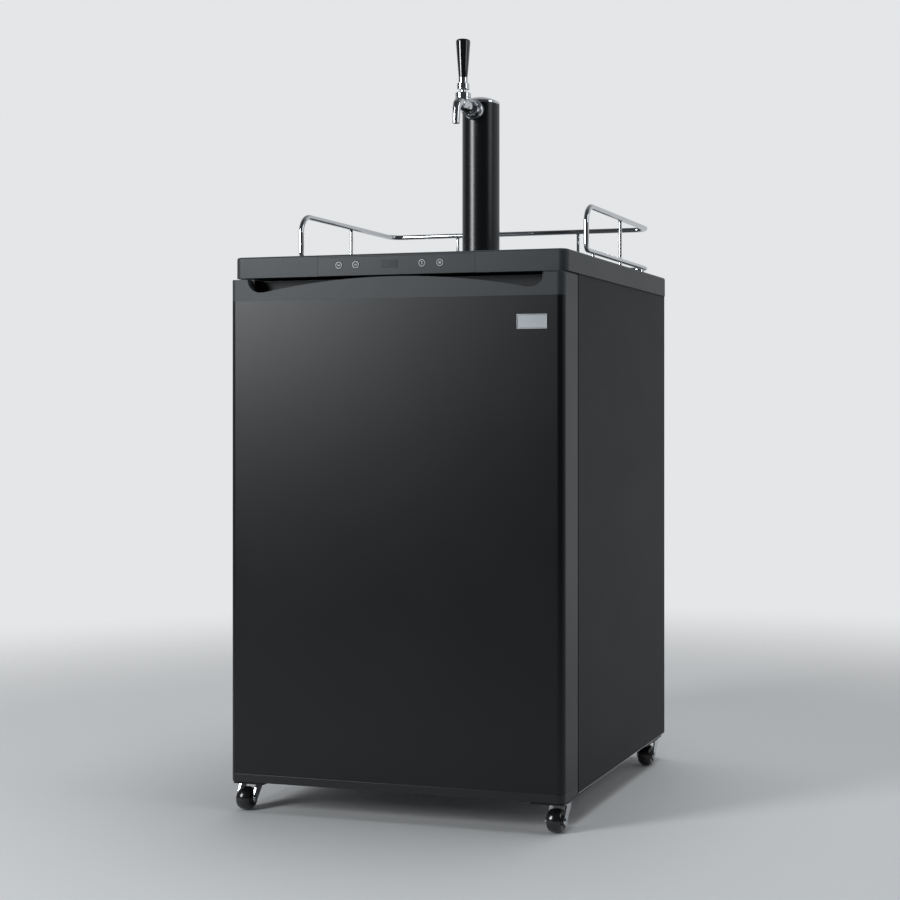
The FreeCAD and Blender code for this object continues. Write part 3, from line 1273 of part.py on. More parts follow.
elbow_y = value("At.tower_y")
shank_z = value("At.shank_z")
elbow_start = value("At.shank_end + Size.past")
elbow_points = [V(0, elbow_start, shank_z), V(0, elbow_y, shank_z), V(0, elbow_y, value("At.elbow_low"))]
tail_elbow = bent_tube("tail_elbow", elbow_points, [value("Size.elbow_bend")], value("Size.elbow_radius"),
                       value("Size.elbow_bore"))
tail_hex = hexagon("tail_hex", "y", SHANK, "Size.tail_nut_across", "At.lock_y",
                   "At.lock_y + Size.tail_nut_thick")
tail_bores = [rod("tail_bore", "y", SHANK, "Size.shank_radius + Size.run_fit", "At.lock_y - Size.past",
                  "At.shank_end + Size.past / 2"),
              rod("tail_lip", "y", SHANK, "Size.elbow_radius + Size.run_fit", "At.lock_y",
                  "At.lock_y + Size.tail_nut_thick + Size.past")]
tail_nut = cut("tail_nut", tail_hex, *tail_bores)
keep("shank", group("shank", [shank, saddle, lock_nut, tail_nut, tail_elbow]))

# ---- beer line ----

hose_top = "At.elbow_low + Size.hose_over_elbow"
keep("beer_line", tube("beer_line", "z", TOWER, "Size.hose_radius", "Size.hose_bore + Size.run_fit",
                       "At.hose_low",
                       hose_top))
clamps = [
    tube(f"clamp_{n}", "z", TOWER, "Size.hose_radius + Size.clamp_thick",
         "Size.hose_radius + Size.run_fit", low,
         f"{low} + Size.clamp_high")
    for n, low in enumerate((f"{hose_top} - Size.clamp_high - Size.clamp_in_top",
                              "At.hose_low + Size.clamp_in_low"))]
nut_hex = hexagon("nut_hex", "z", TOWER, "Size.line_nut_across", "At.line_nut_low", "At.line_nut_high_z")
wall_z = "At.line_nut_high_z - Size.line_nut_wall"
flange_z = f"{wall_z} - Size.line_flange_thick"
nut_mouth = rod("nut_mouth", "z", TOWER, "Size.line_nut_bore", "At.line_nut_low - Size.past", flange_z)
nut_seat = rod("nut_seat", "z", TOWER, "Size.line_flange_radius + Size.soft_gap", "At.line_nut_low", wall_z)
nut_neck = rod("nut_neck", "z", TOWER, "Size.hose_bore + Size.run_fit", "At.line_nut_low",
               "At.line_nut_high_z + Size.past")
line_nut = cut("line_nut", nut_hex, nut_mouth, nut_seat, nut_neck)
tail_stem = rod("tail_stem", "z", TOWER, "Size.hose_bore", flange_z, "At.hose_low + Size.line_stem")
tail_flange = rod("tail_flange", "z", TOWER, "Size.line_flange_radius", flange_z, wall_z)
tail_way = rod("tail_way", "z", TOWER, "Size.elbow_bore", "At.line_nut_low",
               "At.hose_low + Size.line_stem + Size.past")
line_tail = cut("line_tail", fuse("tail_solid", tail_stem, tail_flange), tail_way)
keep("line_fittings", group("line_fittings", [line_nut, line_tail] + clamps))

# ---- tap ----

PIVOT = ("0", "At.tap_y", "At.pivot_z")
LEVER = ("0", "At.tap_y")
barrel = rod("tap_barrel", "y", SHANK, "Size.barrel_radius", "At.tap_y - Size.barrel_ahead",
             "At.shank_head_y - Size.soft_gap")
nose = taper("tap_nose", "y", SHANK, ("Size.nose_radius", "Size.barrel_radius"),
             "At.tap_y - Size.barrel_ahead - Size.nose_long", "At.tap_y - Size.barrel_ahead")
boss = rod("tap_boss", "z", LEVER, "Size.barrel_radius", "At.shank_z", "At.pivot_z - Size.bonnet_below")
spout_points = [V(0, value("At.tap_y - Size.spout_start_y"), value("At.shank_z")),
                V(0, value("At.tap_y - Size.spout_knee_y"), value("At.shank_z + Size.spout_knee_up")),
                V(0, value("At.tap_y - Size.spout_tip_y"), value("At.shank_z - Size.spout_tip_down"))]
spout_bends = [value("Size.spout_bend")]
spout = bent_tube("spout", spout_points, spout_bends, value("Size.spout_radius"))
spout_way = bent_tube("spout_way", spout_points, spout_bends, value("Size.spout_bore"))
valve_way = rod("valve_way", "y", SHANK, "Size.valve_bore + Size.run_fit",
                "At.tap_y - Size.barrel_ahead - Size.past",
                "At.shank_head_y")
chamber = rod("valve_chamber", "y", SHANK, "Size.valve_chamber_radius",
              "At.shank_head_y - Size.valve_chamber_deep", "At.shank_head_y")
socket = ball("ball_socket", PIVOT, "Size.ball_radius + Size.run_fit * 2")
tip_way = rod("tip_way", "z", LEVER, "Size.tip_way_radius", "At.shank_z", "At.pivot_z")
bonnet_low = "At.pivot_z - Size.bonnet_below"
bonnet_top = "At.pivot_z + Size.bonnet_above"
bonnet_drum = rod("bonnet_drum", "z", LEVER, "Size.bonnet_radius", bonnet_low,
                  f"{bonnet_top} - Size.bonnet_bevel")
keep("faucet_body", cut("faucet_body", fuse("faucet_solid", barrel, nose, boss, spout), spout_way,
                        valve_way, chamber,
                        socket, tip_way, bonnet_drum))

bonnet_crest = taper("bonnet_crest", "z", LEVER, ("Size.bonnet_radius",
                                                  "Size.bonnet_radius - Size.bonnet_bevel"),
                     f"{bonnet_top} - Size.bonnet_bevel", bonnet_top)
bonnet_hole = rod("bonnet_hole", "z", LEVER, "Size.ball_radius + Size.run_fit * 2",
                  f"{bonnet_low} - Size.past",
                  f"{bonnet_top} + Size.past")
bonnet_flare = taper("bonnet_flare", "z", LEVER, ("Size.ball_radius",
                                                  "Size.ball_radius + Size.bonnet_flare"),
                     f"{bonnet_top} - Size.bonnet_flare_deep", bonnet_top)
TRUNNION = ("At.tap_y", "At.pivot_z")
trunnion_seat = rod("trunnion_seat", "x", TRUNNION, "Size.trunnion_radius + Size.run_fit",
                    "-Size.trunnion_half - Size.soft_gap", "Size.trunnion_half + Size.soft_gap")
keep("faucet_bonnet", cut("faucet_bonnet", fuse("bonnet_solid", bonnet_drum, bonnet_crest), bonnet_hole,
                          bonnet_flare, trunnion_seat))

lever = fuse("lever_solid", ball("lever_ball", PIVOT, "Size.ball_radius"),
             rod("lever_neck_rod", "z", LEVER, "Size.lever_neck", "At.pivot_z", "At.collar_z"),
             rod("lever_collar", "z", LEVER, "Size.lever_collar_radius", "At.collar_z", "At.ferrule_z"),
             rod("lever_stud_rod", "z", LEVER, "Size.lever_stud", "At.ferrule_z",
                 "At.handle_z + Size.lever_stud_long"),
             rod("lever_tip_rod", "z", LEVER, "Size.lever_tip_radius - Size.lever_tip_waist",
                 "At.shank_z", "At.pivot_z"),
             ball("lever_tip_ball", ("0", "At.tap_y", "At.shank_z"), "Size.lever_tip_radius"),
             rod("lever_trunnions", "x", TRUNNION, "Size.trunnion_radius", "-Size.trunnion_half",
                 "Size.trunnion_half"))
ferrule = tube("handle_ferrule", "z", LEVER, "Size.ferrule_radius", "Size.lever_stud + Size.run_fit",
               "At.ferrule_z", "At.handle_z")
keep("tap_lever", group("tap_lever", [lever, ferrule]))
grip = doc.addObject("PartDesign::Body", "grip")
grip_sketch = new_sketch(grip, "grip_side", "XZ_Plane")
outline(grip_sketch, [("0", "0"), ("Size.handle_base_radius", "0"),
        ("Size.handle_top_radius", "Size.handle_high - Size.handle_dome"), ("0", "Size.handle_high")])
grip_round = spin(grip, grip_sketch)
grip_top = value("Size.handle_high - Size.handle_dome")
round_edges(grip, grip_round, "Size.handle_round", lambda edge: abs(edge.BoundBox.ZMax - grip_top) < 0.01
            and edge.BoundBox.ZLength < 0.01)
base_at(grip, "0", "At.tap_y", "At.handle_z")
stud_hole = rod("stud_hole", "z", LEVER, "Size.lever_stud + Size.run_fit", "At.handle_z - Size.past",
                "At.handle_z + Size.lever_stud_long + Size.soft_gap")
keep("tap_handle", cut("tap_handle", grip, stud_hole))

washer_y = "At.shank_head_y - Size.valve_chamber_deep + Size.soft_gap"
plunger_rod = rod("plunger_rod", "y", SHANK, "Size.valve_bore", "At.tap_y - Size.barrel_ahead + Size.past",
                  "At.shank_head_y - Size.valve_chamber_deep - Size.past")
plunger_neck = rod("plunger_neck", "y", SHANK, "Size.plunger_neck",
                   "At.shank_head_y - Size.valve_chamber_deep - Size.past",
                   f"{washer_y} + Size.washer_thick + Size.past")
tip_slot = block("tip_slot", ("-Size.lever_tip_radius - Size.soft_gap",
                              "Size.lever_tip_radius + Size.soft_gap"),
                 ("At.tap_y - Size.lever_tip_radius - Size.tip_play",
                  "At.tap_y + Size.lever_tip_radius + Size.tip_play"),
                 ("At.shank_z - Size.valve_bore - Size.past", "At.shank_z + Size.valve_bore + Size.past"))
# the slot opens wide above the tip, so that the tilted lever clears it
slot_relief = block("slot_relief", ("-Size.valve_bore - Size.past", "Size.valve_bore + Size.past"),
                    ("At.tap_y - Size.tip_relief", "At.tap_y + Size.tip_relief"),
                    ("At.shank_z + Size.relief_up", "At.shank_z + Size.valve_bore + Size.past"))
plunger = cut("plunger", fuse("plunger_solid", plunger_rod, plunger_neck), tip_slot, slot_relief)
valve_washer = tube("valve_washer", "y", SHANK, "Size.washer_radius", "Size.plunger_neck", washer_y,
                    f"{washer_y} + Size.washer_thick")
keep("valve_plunger", group("valve_plunger", [plunger, valve_washer]))

# ---- guard rail ----

rail_x, front, back = value("At.rail_x"), value("At.rail_front"), value("At.rail_back")
rail_z, lower_z = value("At.rail_z"), value("At.lower_z")
post_low = lower_z + value("Size.elbow_round")
hoop_points = [V(-rail_x, front, post_low), V(-rail_x, front, rail_z), V(-rail_x, back, rail_z),
               V(rail_x, back, rail_z), V(rail_x, front, rail_z), V(rail_x, front, post_low)]
bend, corner = value("Size.rail_bend"), value("Size.rail_corner")
keep("rail_hoop", bent_tube("rail_hoop", hoop_points, [bend, corner, corner, bend],
                            value("Size.rail_radius")))
elbow, spare = value("Size.elbow_round"), value("Size.bend_spare")
lower_points = [V(-rail_x, front, post_low), V(-rail_x, front, lower_z), V(-rail_x, back, lower_z),
                V(rail_x, back, lower_z), V(rail_x, front, lower_z), V(rail_x, front, post_low)]
lower_bends = [elbow - spare, corner, corner, elbow - spare]
lower_rail = bent_tube("lower_rail", lower_points, lower_bends, value("Size.lower_radius"))
ROD_SPOTS = [(f"{side} * At.rail_x", "At.rod_y") for side in (-1, 1)]
ROD_SPOTS += [(f"{side} * Size.rod_from_middle", "At.rail_back") for side in (-1, 1)]
rods = [
    rod(f"rail_rod_{n}", "z", spot, "Size.rod_radius", "At.lower_z + Size.lower_radius - Size.weld_sink",
        "At.rail_z - Size.rail_radius + Size.weld_sink")
    for n, spot in enumerate(ROD_SPOTS)]
pegs = [
    rod(f"rail_peg_{n}", "z", spot, "Size.peg_radius", peg_low,
        "At.lower_z - Size.lower_radius + Size.weld_sink")
    for n, spot in enumerate(PEGS)]
keep("rail_lower", fuse("rail_lower", lower_rail, *rods, *pegs))

# ---- drip tray ----

pan_x = ("-Size.pan_half", "Size.pan_half")
pan_box = block("drip_box", pan_x, ("At.pan_low_y", "At.pan_high_y"),
                ("At.top_z", "At.top_z + Size.pan_high"))
ledge = "(Size.pan_wall + Size.pan_ledge)"
drip_well = block("drip_well", (f"-Size.pan_half + {ledge}", f"Size.pan_half - {ledge}"),
                  (f"At.pan_low_y + {ledge}", f"At.pan_high_y - {ledge}"),
                  ("At.top_z + Size.pan_wall", "At.top_z + Size.pan_high + Size.past"))
GRID_Z = ("At.top_z + Size.pan_high - Size.grid_thick", "At.top_z + Size.pan_high")
drip_seat = block("drip_seat", ("-Size.pan_half + Size.pan_wall", "Size.pan_half - Size.pan_wall"),
                  ("At.pan_low_y + Size.pan_wall", "At.pan_high_y - Size.pan_wall"),
                  (GRID_Z[0], f"{GRID_Z[1]} + Size.past"))
keep("drip_tray", cut("drip_tray", pan_box, drip_well, drip_seat))
rim_gap = "Size.pan_wall + Size.soft_gap"
grid_plate = block("grid_plate", (f"-Size.pan_half + {rim_gap}", f"Size.pan_half - ({rim_gap})"),
                   (f"At.pan_low_y + {rim_gap}", f"At.pan_high_y - ({rim_gap})"), GRID_Z)
grid_slots = []
for n in range(int(value("Size.grid_slots"))):
    middle = f"({n} - (Size.grid_slots - 1) / 2) * Size.grid_pitch"
    grid_slots.append(block(f"grid_slot_{n}", (f"{middle} - Size.grid_slot / 2",
                                               f"{middle} + Size.grid_slot / 2"),
                            ("At.pan_low_y + Size.grid_margin", "At.pan_high_y - Size.grid_margin"),
                            (f"{GRID_Z[0]} - Size.past", f"{GRID_Z[1]} + Size.past")))
keep("drip_grid", cut("drip_grid", grid_plate, *grid_slots))

# ---- check and write ----

doc.recompute()
for thing in doc.Objects:
    if "Invalid" in thing.State or "Error" in thing.State:
        raise RuntimeError(f"{thing.Name} did not recompute: {thing.State}")
for node, thing in nodes.items():
    if thing.Shape.isNull() or not thing.Shape.isValid():
        raise RuntimeError(f"{node} has no valid shape")

os.makedirs("parts", exist_ok=True)
whole = FreeCAD.BoundBox()
for node, thing in sorted(nodes.items()):
    thing.Shape.exportStep(f"parts/{node}.step")
    whole.add(thing.Shape.optimalBoundingBox(True, False))
print(f"{len(nodes)} nodes, {whole.XLength:.1f} x {whole.YLength:.1f} x {whole.ZLength:.1f} mm")
print(f"x {whole.XMin:.2f} to {whole.XMax:.2f}, y {whole.YMin:.2f} to {whole.YMax:.2f}, z {whole.ZMin:.2f}")
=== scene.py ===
# %% [markdown]
# # Dressing a kegerator
# The construction model already says where every solid of this beer dispenser is and how it moves. This
# notebook gives those solids their looks. It loads them as a fixed frame, makes the finishes, and then
# models the pieces whose edges, curves or small parts deserve more care than a construction solid gives.

# %% Load the fixed frame
import json
import math
import bmesh
import bpy
from mathutils import Matrix, Vector


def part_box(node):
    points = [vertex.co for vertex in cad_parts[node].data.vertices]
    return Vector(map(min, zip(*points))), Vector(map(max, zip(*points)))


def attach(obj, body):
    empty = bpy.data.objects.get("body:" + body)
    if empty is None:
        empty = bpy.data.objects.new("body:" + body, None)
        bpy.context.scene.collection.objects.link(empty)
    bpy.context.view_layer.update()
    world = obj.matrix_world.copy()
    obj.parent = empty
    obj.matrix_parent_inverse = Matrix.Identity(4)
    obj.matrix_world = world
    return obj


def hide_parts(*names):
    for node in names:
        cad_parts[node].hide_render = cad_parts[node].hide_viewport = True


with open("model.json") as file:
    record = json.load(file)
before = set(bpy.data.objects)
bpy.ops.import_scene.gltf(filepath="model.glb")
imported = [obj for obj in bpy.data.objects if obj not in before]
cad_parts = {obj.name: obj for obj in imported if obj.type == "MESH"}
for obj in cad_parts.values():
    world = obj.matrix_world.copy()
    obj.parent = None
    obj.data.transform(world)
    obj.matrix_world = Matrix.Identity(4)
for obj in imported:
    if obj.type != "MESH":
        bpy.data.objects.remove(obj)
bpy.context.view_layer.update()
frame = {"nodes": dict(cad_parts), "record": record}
record = frame["record"]

# %% [markdown]
# The camera stands a little to the right of the door and half-way up it, and looks level, so that all
# upright edges stay upright. It looks past the cabinet's right, so the door faces it almost squarely
# while the side still shows. Such a camera could be turned and tilted instead, but then the door's
# edges would slope more. A lens shift moves the frame back to the cabinet without turning the camera.

# %% Camera
TURN_TO_DOOR = 0.2845
CAMERA_PLACE = (1.1382, -2.8053, 0.6747)
LENS_MM, SENSOR_MM = 65.54, 36
SHIFT_LEFT, SHIFT_DOWN = 0.20, 0.0383
camera_data = bpy.data.cameras.new("camera")
camera_data.lens = LENS_MM
camera_data.sensor_width = SENSOR_MM
camera_data.shift_x = -SHIFT_LEFT
camera_data.shift_y = -SHIFT_DOWN
camera = bpy.data.objects.new("camera", camera_data)
camera.location = CAMERA_PLACE
camera.rotation_euler = (math.pi / 2, 0, TURN_TO_DOOR)
bpy.context.scene.collection.objects.link(camera)
bpy.context.scene.camera = camera
bpy.context.scene.view_settings.view_transform = "Standard"
print("camera at", tuple(camera.location), "lens", camera_data.lens)

# %% [markdown]
# A black product shows its form only by what it mirrors. One large soft lamp stands on the left, just
# outside the place that the door mirrors, so that the door fades from its upper left corner. A weaker
# lamp on the right opens up the cabinet's side, and one above lights the top. The size of an area lamp,
# and not only its power, decides how soft its shadows are.

# %% Lamps
LAMP_TINT = (0.93, 0.97, 1.0)


def soft_lamp(name, place, aim, size, power):
    """A rectangular lamp at a place, turned to what it aims at; metres and watts."""
    data = bpy.data.lights.new(name, "AREA")
    data.shape = "RECTANGLE"
    data.size, data.size_y = size
    data.energy = power
    data.color = LAMP_TINT
    lamp = bpy.data.objects.new(name, data)
    lamp.location = place
    lamp.rotation_euler = (Vector(aim) - Vector(place)).to_track_quat("-Z", "Y").to_euler()
    bpy.context.scene.collection.objects.link(lamp)
    return lamp


soft_lamp("lamp_left", (-2.0, -2.85, 1.75), (0, -0.3, 0.8), (0.95, 1.5), 78)
soft_lamp("lamp_right", (3.0, -0.4, 2.2), (0.3, 0, 0.6), (1.2, 1.6), 11)
soft_lamp("lamp_above", (0.3, 0.3, 3.4), (0, 0, 0.9), (2.4, 1.6), 58).visible_glossy = False
print("lamps", [light.name for light in bpy.data.lights])

# %% [markdown]
# Shader maths is easier to read as sums than as boxes and wires. `Wire` holds one socket of a material,
# and adding, multiplying or subtracting wires adds the Math nodes for it. `Finish` holds one material:
# its `node` method makes any other node, and `feed` puts a number or a wire into the shader.

# %% Wires and finishes
class Wire:
    def __init__(self, finish, socket):
        self.finish = finish
        self.socket = socket

    def maths(self, operation, first, second):
        return self.finish.node("ShaderNodeMath", {"operation": operation}, {0: first, 1: second})

    def __add__(self, other):
        return self.maths("ADD", self, other)

    def __sub__(self, other):
        return self.maths("SUBTRACT", self, other)

    def __rsub__(self, other):
        return self.maths("SUBTRACT", other, self)

    def __mul__(self, other):
        return self.maths("MULTIPLY", self, other)

    __radd__ = __add__
    __rmul__ = __mul__


class Finish:
    def __init__(self, name, tree=None):
        self.name = name
        if tree is None:
            self.material = bpy.data.materials.new(name)
            self.material.use_nodes = True
            tree = self.material.node_tree
        self.tree = tree
        self.shader = tree.nodes.get("Principled BSDF")

    def node(self, kind, settings=None, inputs=None, output=0):
        made = self.tree.nodes.new(kind)
        for name, setting in (settings or {}).items():
            setattr(made, name, setting)
        for name, content in (inputs or {}).items():
            self.join(made.inputs[name], content)
        return Wire(self, made.outputs[output])

    def join(self, socket, content):
        if isinstance(content, Wire):
            self.tree.links.new(content.socket, socket)
        else:
            socket.default_value = content

    def feed(self, **sockets):
        for name, content in sockets.items():
            self.join(self.shader.inputs[name.replace("_", " ")], content)
        return self

    def place(self, stretch=(1, 1, 1)):
        coordinates = self.node("ShaderNodeTexCoord", output="Object")
        if stretch == (1, 1, 1):
            return coordinates
        return self.node("ShaderNodeMapping", {}, {"Vector": coordinates, "Scale": stretch})

    def noise(self, scale, detail=2.0, stretch=(1, 1, 1)):
        inputs = {"Vector": self.place(stretch), "Scale": scale, "Detail": detail, "Roughness": 0.55}
        return self.node("ShaderNodeTexNoise", {}, inputs)

    def shades(self, amount, low, high):
        """A colour between two, chosen by a wire."""
        settings = {"data_type": "RGBA"}
        inputs = {"Factor": amount, 6: (*low, 1), 7: (*high, 1)}
        return self.node("ShaderNodeMix", settings, inputs, 2)

    def relief(self, height, depth, strength=1.0):
        """Normals of a surface whose height, from 0 to 1, is a wire and spans depth metres."""
        inputs = {"Height": height, "Distance": depth, "Strength": strength}
        return self.node("ShaderNodeBump", {}, inputs)


print("shader helpers ready")

# %% [markdown]
# The floor is a plain pale sheet that fades out some metres away, so that no line shows where it ends, as
# with the curved paper sweep of a studio. Behind the cabinet the world is as pale as such paper, and it
# gets dim overhead and towards the camera. Black paint and chrome need both: pale parts to mirror, and
# dark ones between them.

# %% Floor and surroundings
FLOOR_HALF = 40
FADE_FROM, FADE_TO = 0.9, 2.9
PALE_WALL = (0.78, 0.79, 0.80, 1)
DIM_AIR, BRIGHT_AIR = (0.045, 0.047, 0.050), (0.56, 0.575, 0.59)

floor_form = bmesh.new()
bmesh.ops.create_grid(floor_form, x_segments=1, y_segments=1, size=FLOOR_HALF)
floor_mesh = bpy.data.meshes.new("floor")
floor_form.to_mesh(floor_mesh)
floor_form.free()
floor = bpy.data.objects.new("floor", floor_mesh)
bpy.context.scene.collection.objects.link(floor)
floor_finish = Finish("floor_sheet")
floor_finish.feed(Base_Color=(0.66, 0.66, 0.66, 1), Roughness=0.7)
away = floor_finish.node("ShaderNodeVectorMath", {"operation": "LENGTH"}, {0: floor_finish.place()}, "Value")
fade_range = {"Value": away, "From Min": FADE_FROM, "From Max": FADE_TO, "To Min": 1.0, "To Max": 0.0}
fade = floor_finish.node("ShaderNodeMapRange", {"interpolation_type": "SMOOTHSTEP"}, fade_range)
floor_finish.feed(Alpha=fade)
floor_mesh.materials.append(floor_finish.material)

world = bpy.data.worlds.new("studio")
world.use_nodes = True
bpy.context.scene.world = world
air = Finish("studio", world.node_tree)
way = air.node("ShaderNodeTexCoord", output="Generated")
back_way = air.node("ShaderNodeSeparateXYZ", {}, {0: way}, "Y")
up_way = air.node("ShaderNodeSeparateXYZ", {}, {0: way}, "Z")
behind = air.node("ShaderNodeMapRange", {"interpolation_type": "SMOOTHSTEP"},
                  {"Value": back_way, "From Min": -0.35, "From Max": 0.6})
rise = air.node("ShaderNodeMapRange", {"interpolation_type": "SMOOTHSTEP"},
                {"Value": up_way, "From Min": 0.25, "From Max": 0.95, "To Min": 1.0, "To Max": 0.35})
seen = air.node("ShaderNodeLightPath", output="Is Camera Ray")
ambient = air.shades(behind * rise, DIM_AIR, BRIGHT_AIR)
shown = air.node("ShaderNodeMix", {"data_type": "RGBA"}, {"Factor": seen, 6: ambient, 7: PALE_WALL}, 2)
air.join(world.node_tree.nodes["Background"].inputs["Color"], shown)
print("floor and world ready")

# %% [markdown]
# ## Finishes
# Each finish is a small recipe. Paint on steel is nearly even, with a soft orange-peel relief. Textured
# paint and moulded plastic have pebbles under a millimetre wide, which is why the cabinet's sides look
# softer than its door. All patterns follow the object's own millimetres, so none slides when it moves.

# %% Painted steel
def painted(name, colour, roughness, peel=0.00002, gloss=0.5):
    """Sprayed paint: even colour, with a faint orange-peel relief."""
    finish = Finish(name)
    cloud = finish.noise(6, 3)
    dark = tuple(part * 0.9 for part in colour)
    light = tuple(part * 1.1 for part in colour)
    grain = finish.noise(900, 2)
    finish.feed(Base_Color=finish.shades(cloud, dark, light), Roughness=cloud * 0.05 + (roughness - 0.025),
                Specular_IOR_Level=gloss, Normal=finish.relief(grain, peel, 0.6))
    return finish


def pebbled(name, colour, roughness, size=1.0, depth=0.00012, gloss=0.5):
    """Textured paint or moulded plastic: rounded pebbles of about size millimetres."""
    finish = Finish(name)
    cells = finish.node("ShaderNodeTexVoronoi", {"feature": "SMOOTH_F1"},
                        {"Vector": finish.place(), "Scale": 1000 / size, "Smoothness": 0.6})
    cloud = finish.noise(9, 3)
    dark = tuple(part * 0.85 for part in colour)
    light = tuple(part * 1.15 for part in colour)
    finish.feed(Base_Color=finish.shades(cloud * 0.6 + cells * 0.4, dark, light), Specular_IOR_Level=gloss,
                Roughness=cloud * 0.08 + (roughness - 0.04), Normal=finish.relief(1 - cells, depth, 0.7))
    return finish


print("paint and plastic recipes ready")

# %% [markdown]
# Bare metal differs by how it was finished. Chrome is almost a mirror, with a trace of haze. Brushed
# steel has fine scratches along one direction, made by squeezing a noise across them. Zinc-plated sheet
# shows patches of crystals. Foam, rubber and vinyl are plain plastics with their own grain.

# %% Metals
def polished(name, colour=(0.86, 0.87, 0.88), roughness=0.07):
    """Chrome plate: a mirror with a trace of haze."""
    finish = Finish(name)
    haze = finish.noise(60, 4)
    finish.feed(Base_Color=finish.shades(haze, tuple(part * 0.96 for part in colour), colour), Metallic=1.0,
                Roughness=haze * 0.05 + (roughness - 0.025))
    return finish


def brushed(name, colour, roughness, stretch):
    """Metal with fine scratches along the direction that stretch leaves short."""
    finish = Finish(name)
    scratch = finish.noise(120, 4, stretch)
    finish.feed(Base_Color=finish.shades(scratch, tuple(part * 0.82 for part in colour), colour), Metallic=1.0,
                Roughness=scratch * 0.16 + (roughness - 0.08), Normal=finish.relief(scratch, 0.00003, 0.5))
    return finish


def plated(name, colour, roughness):
    """Zinc-plated sheet: crystals that differ a little in tone."""
    finish = Finish(name)
    crystal = finish.node("ShaderNodeTexVoronoi", {}, {"Vector": finish.place(), "Scale": 90}, "Color")
    tone = finish.node("ShaderNodeSeparateColor", {}, {0: crystal}, 0)
    finish.feed(Base_Color=finish.shades(tone, tuple(part * 0.8 for part in colour), colour), Metallic=1.0,
                Roughness=tone * 0.12 + (roughness - 0.06))
    return finish


print("metal recipes ready")

# %% Soft and clear materials
def foamed(name, colour):
    """Rigid foam as it sets: small closed bubbles."""
    finish = Finish(name)
    bubble = finish.node("ShaderNodeTexVoronoi", {}, {"Vector": finish.place(), "Scale": 420})
    finish.feed(Base_Color=finish.shades(bubble, colour, tuple(part * 0.7 for part in colour)),
                Roughness=0.9, Normal=finish.relief(bubble, 0.0005, 0.6))
    return finish


def glossy(name, colour, roughness, coat=0.4):
    """Gloss plastic, polished in its mould."""
    finish = Finish(name)
    wave = finish.noise(35, 2)
    finish.feed(Base_Color=finish.shades(wave, tuple(part * 0.85 for part in colour), colour),
                Roughness=wave * 0.04 + (roughness - 0.02), Coat_Weight=coat, Coat_Roughness=0.04)
    return finish


print("foam and gloss recipes ready")

# %% [markdown]
# The record names one material slot for each node, so one table from slot to finish covers them all.

# %% One finish for each slot
FINISHES = {
    "case_paint": pebbled("case_paint", (0.012, 0.014, 0.016), 0.55, 1.1, 0.00010, 0.2),
    "dark_sheet": painted("dark_sheet", (0.022, 0.022, 0.023), 0.5),
    "zinc_sheet": plated("zinc_sheet", (0.62, 0.63, 0.64), 0.38),
    "insulation": foamed("insulation", (0.78, 0.68, 0.42)),
    "liner_plastic": pebbled("liner_plastic", (0.74, 0.76, 0.78), 0.34, 2.2, 0.00003),
    "plate_steel": brushed("plate_steel", (0.62, 0.63, 0.64), 0.34, (0.04, 1, 1)),
    "dark_plastic": pebbled("dark_plastic", (0.016, 0.016, 0.017), 0.42, 0.8, 0.00005),
    "evaporator_aluminium": brushed("evaporator_aluminium", (0.80, 0.81, 0.82), 0.36, (1, 1, 0.05)),
    "compressor_paint": painted("compressor_paint", (0.012, 0.012, 0.013), 0.32, 0.00005),
    "mount_rubber": pebbled("mount_rubber", (0.015, 0.015, 0.015), 0.7, 0.9),
    "tray_plastic": pebbled("tray_plastic", (0.10, 0.10, 0.10), 0.45, 1.2),
    "condenser_paint": painted("condenser_paint", (0.014, 0.014, 0.015), 0.4),
    "screw_zinc": polished("screw_zinc", (0.62, 0.62, 0.60), 0.26),
    "chrome": polished("chrome", (0.74, 0.76, 0.78)),
    "plate_zinc": plated("plate_zinc", (0.035, 0.036, 0.038), 0.42),
    "wheel_plastic": glossy("wheel_plastic", (0.010, 0.010, 0.011), 0.22),
    "door_paint": painted("door_paint", (0.0022, 0.0026, 0.003), 0.36, gloss=0.4),
    "charcoal_plastic": pebbled("charcoal_plastic", (0.040, 0.045, 0.049), 0.46, 0.7, 0.00006, 0.4),
    "base_trim_plastic": pebbled("base_trim_plastic", (0.006, 0.006, 0.007), 0.36, 0.7, 0.00004, 0.5),
    "gasket_rubber": pebbled("gasket_rubber", (0.012, 0.012, 0.013), 0.62, 1.4, 0.00005),
    "badge_silver": brushed("badge_silver", (0.40, 0.42, 0.44), 0.42, (0.03, 1, 1)),
    "panel_plastic": pebbled("panel_plastic", (0.036, 0.040, 0.044), 0.44, 0.6, 0.00003, 0.4),
    "window_plastic": glossy("window_plastic", (0.028, 0.031, 0.034), 0.20, 0.3),
    "button_plastic": pebbled("button_plastic", (0.030, 0.034, 0.037), 0.40, 0.6, 0.00003, 0.4),
    "tower_paint": painted("tower_paint", (0.006, 0.007, 0.008), 0.27, 0.00001),
    "handle_plastic": glossy("handle_plastic", (0.006, 0.006, 0.007), 0.12, 0.8),
    "hose_vinyl": glossy("hose_vinyl", (0.62, 0.64, 0.62), 0.3),
    "valve_brass": polished("valve_brass", (0.78, 0.60, 0.28), 0.22),
    "grid_steel": brushed("grid_steel", (0.60, 0.61, 0.62), 0.30, (1, 0.04, 1)),
}
SLOT_OF = {part["node"]: part["material_slot"] for part in record["subparts"]}
BODY_OF = {node: body for body, nodes in record["behaviour"]["bodies"].items() for node in nodes}
for node, solid in frame["nodes"].items():
    solid.data.materials.clear()
    solid.data.materials.append(FINISHES[SLOT_OF[node]].material)
print(len(FINISHES), "finishes on", len(SLOT_OF), "nodes")

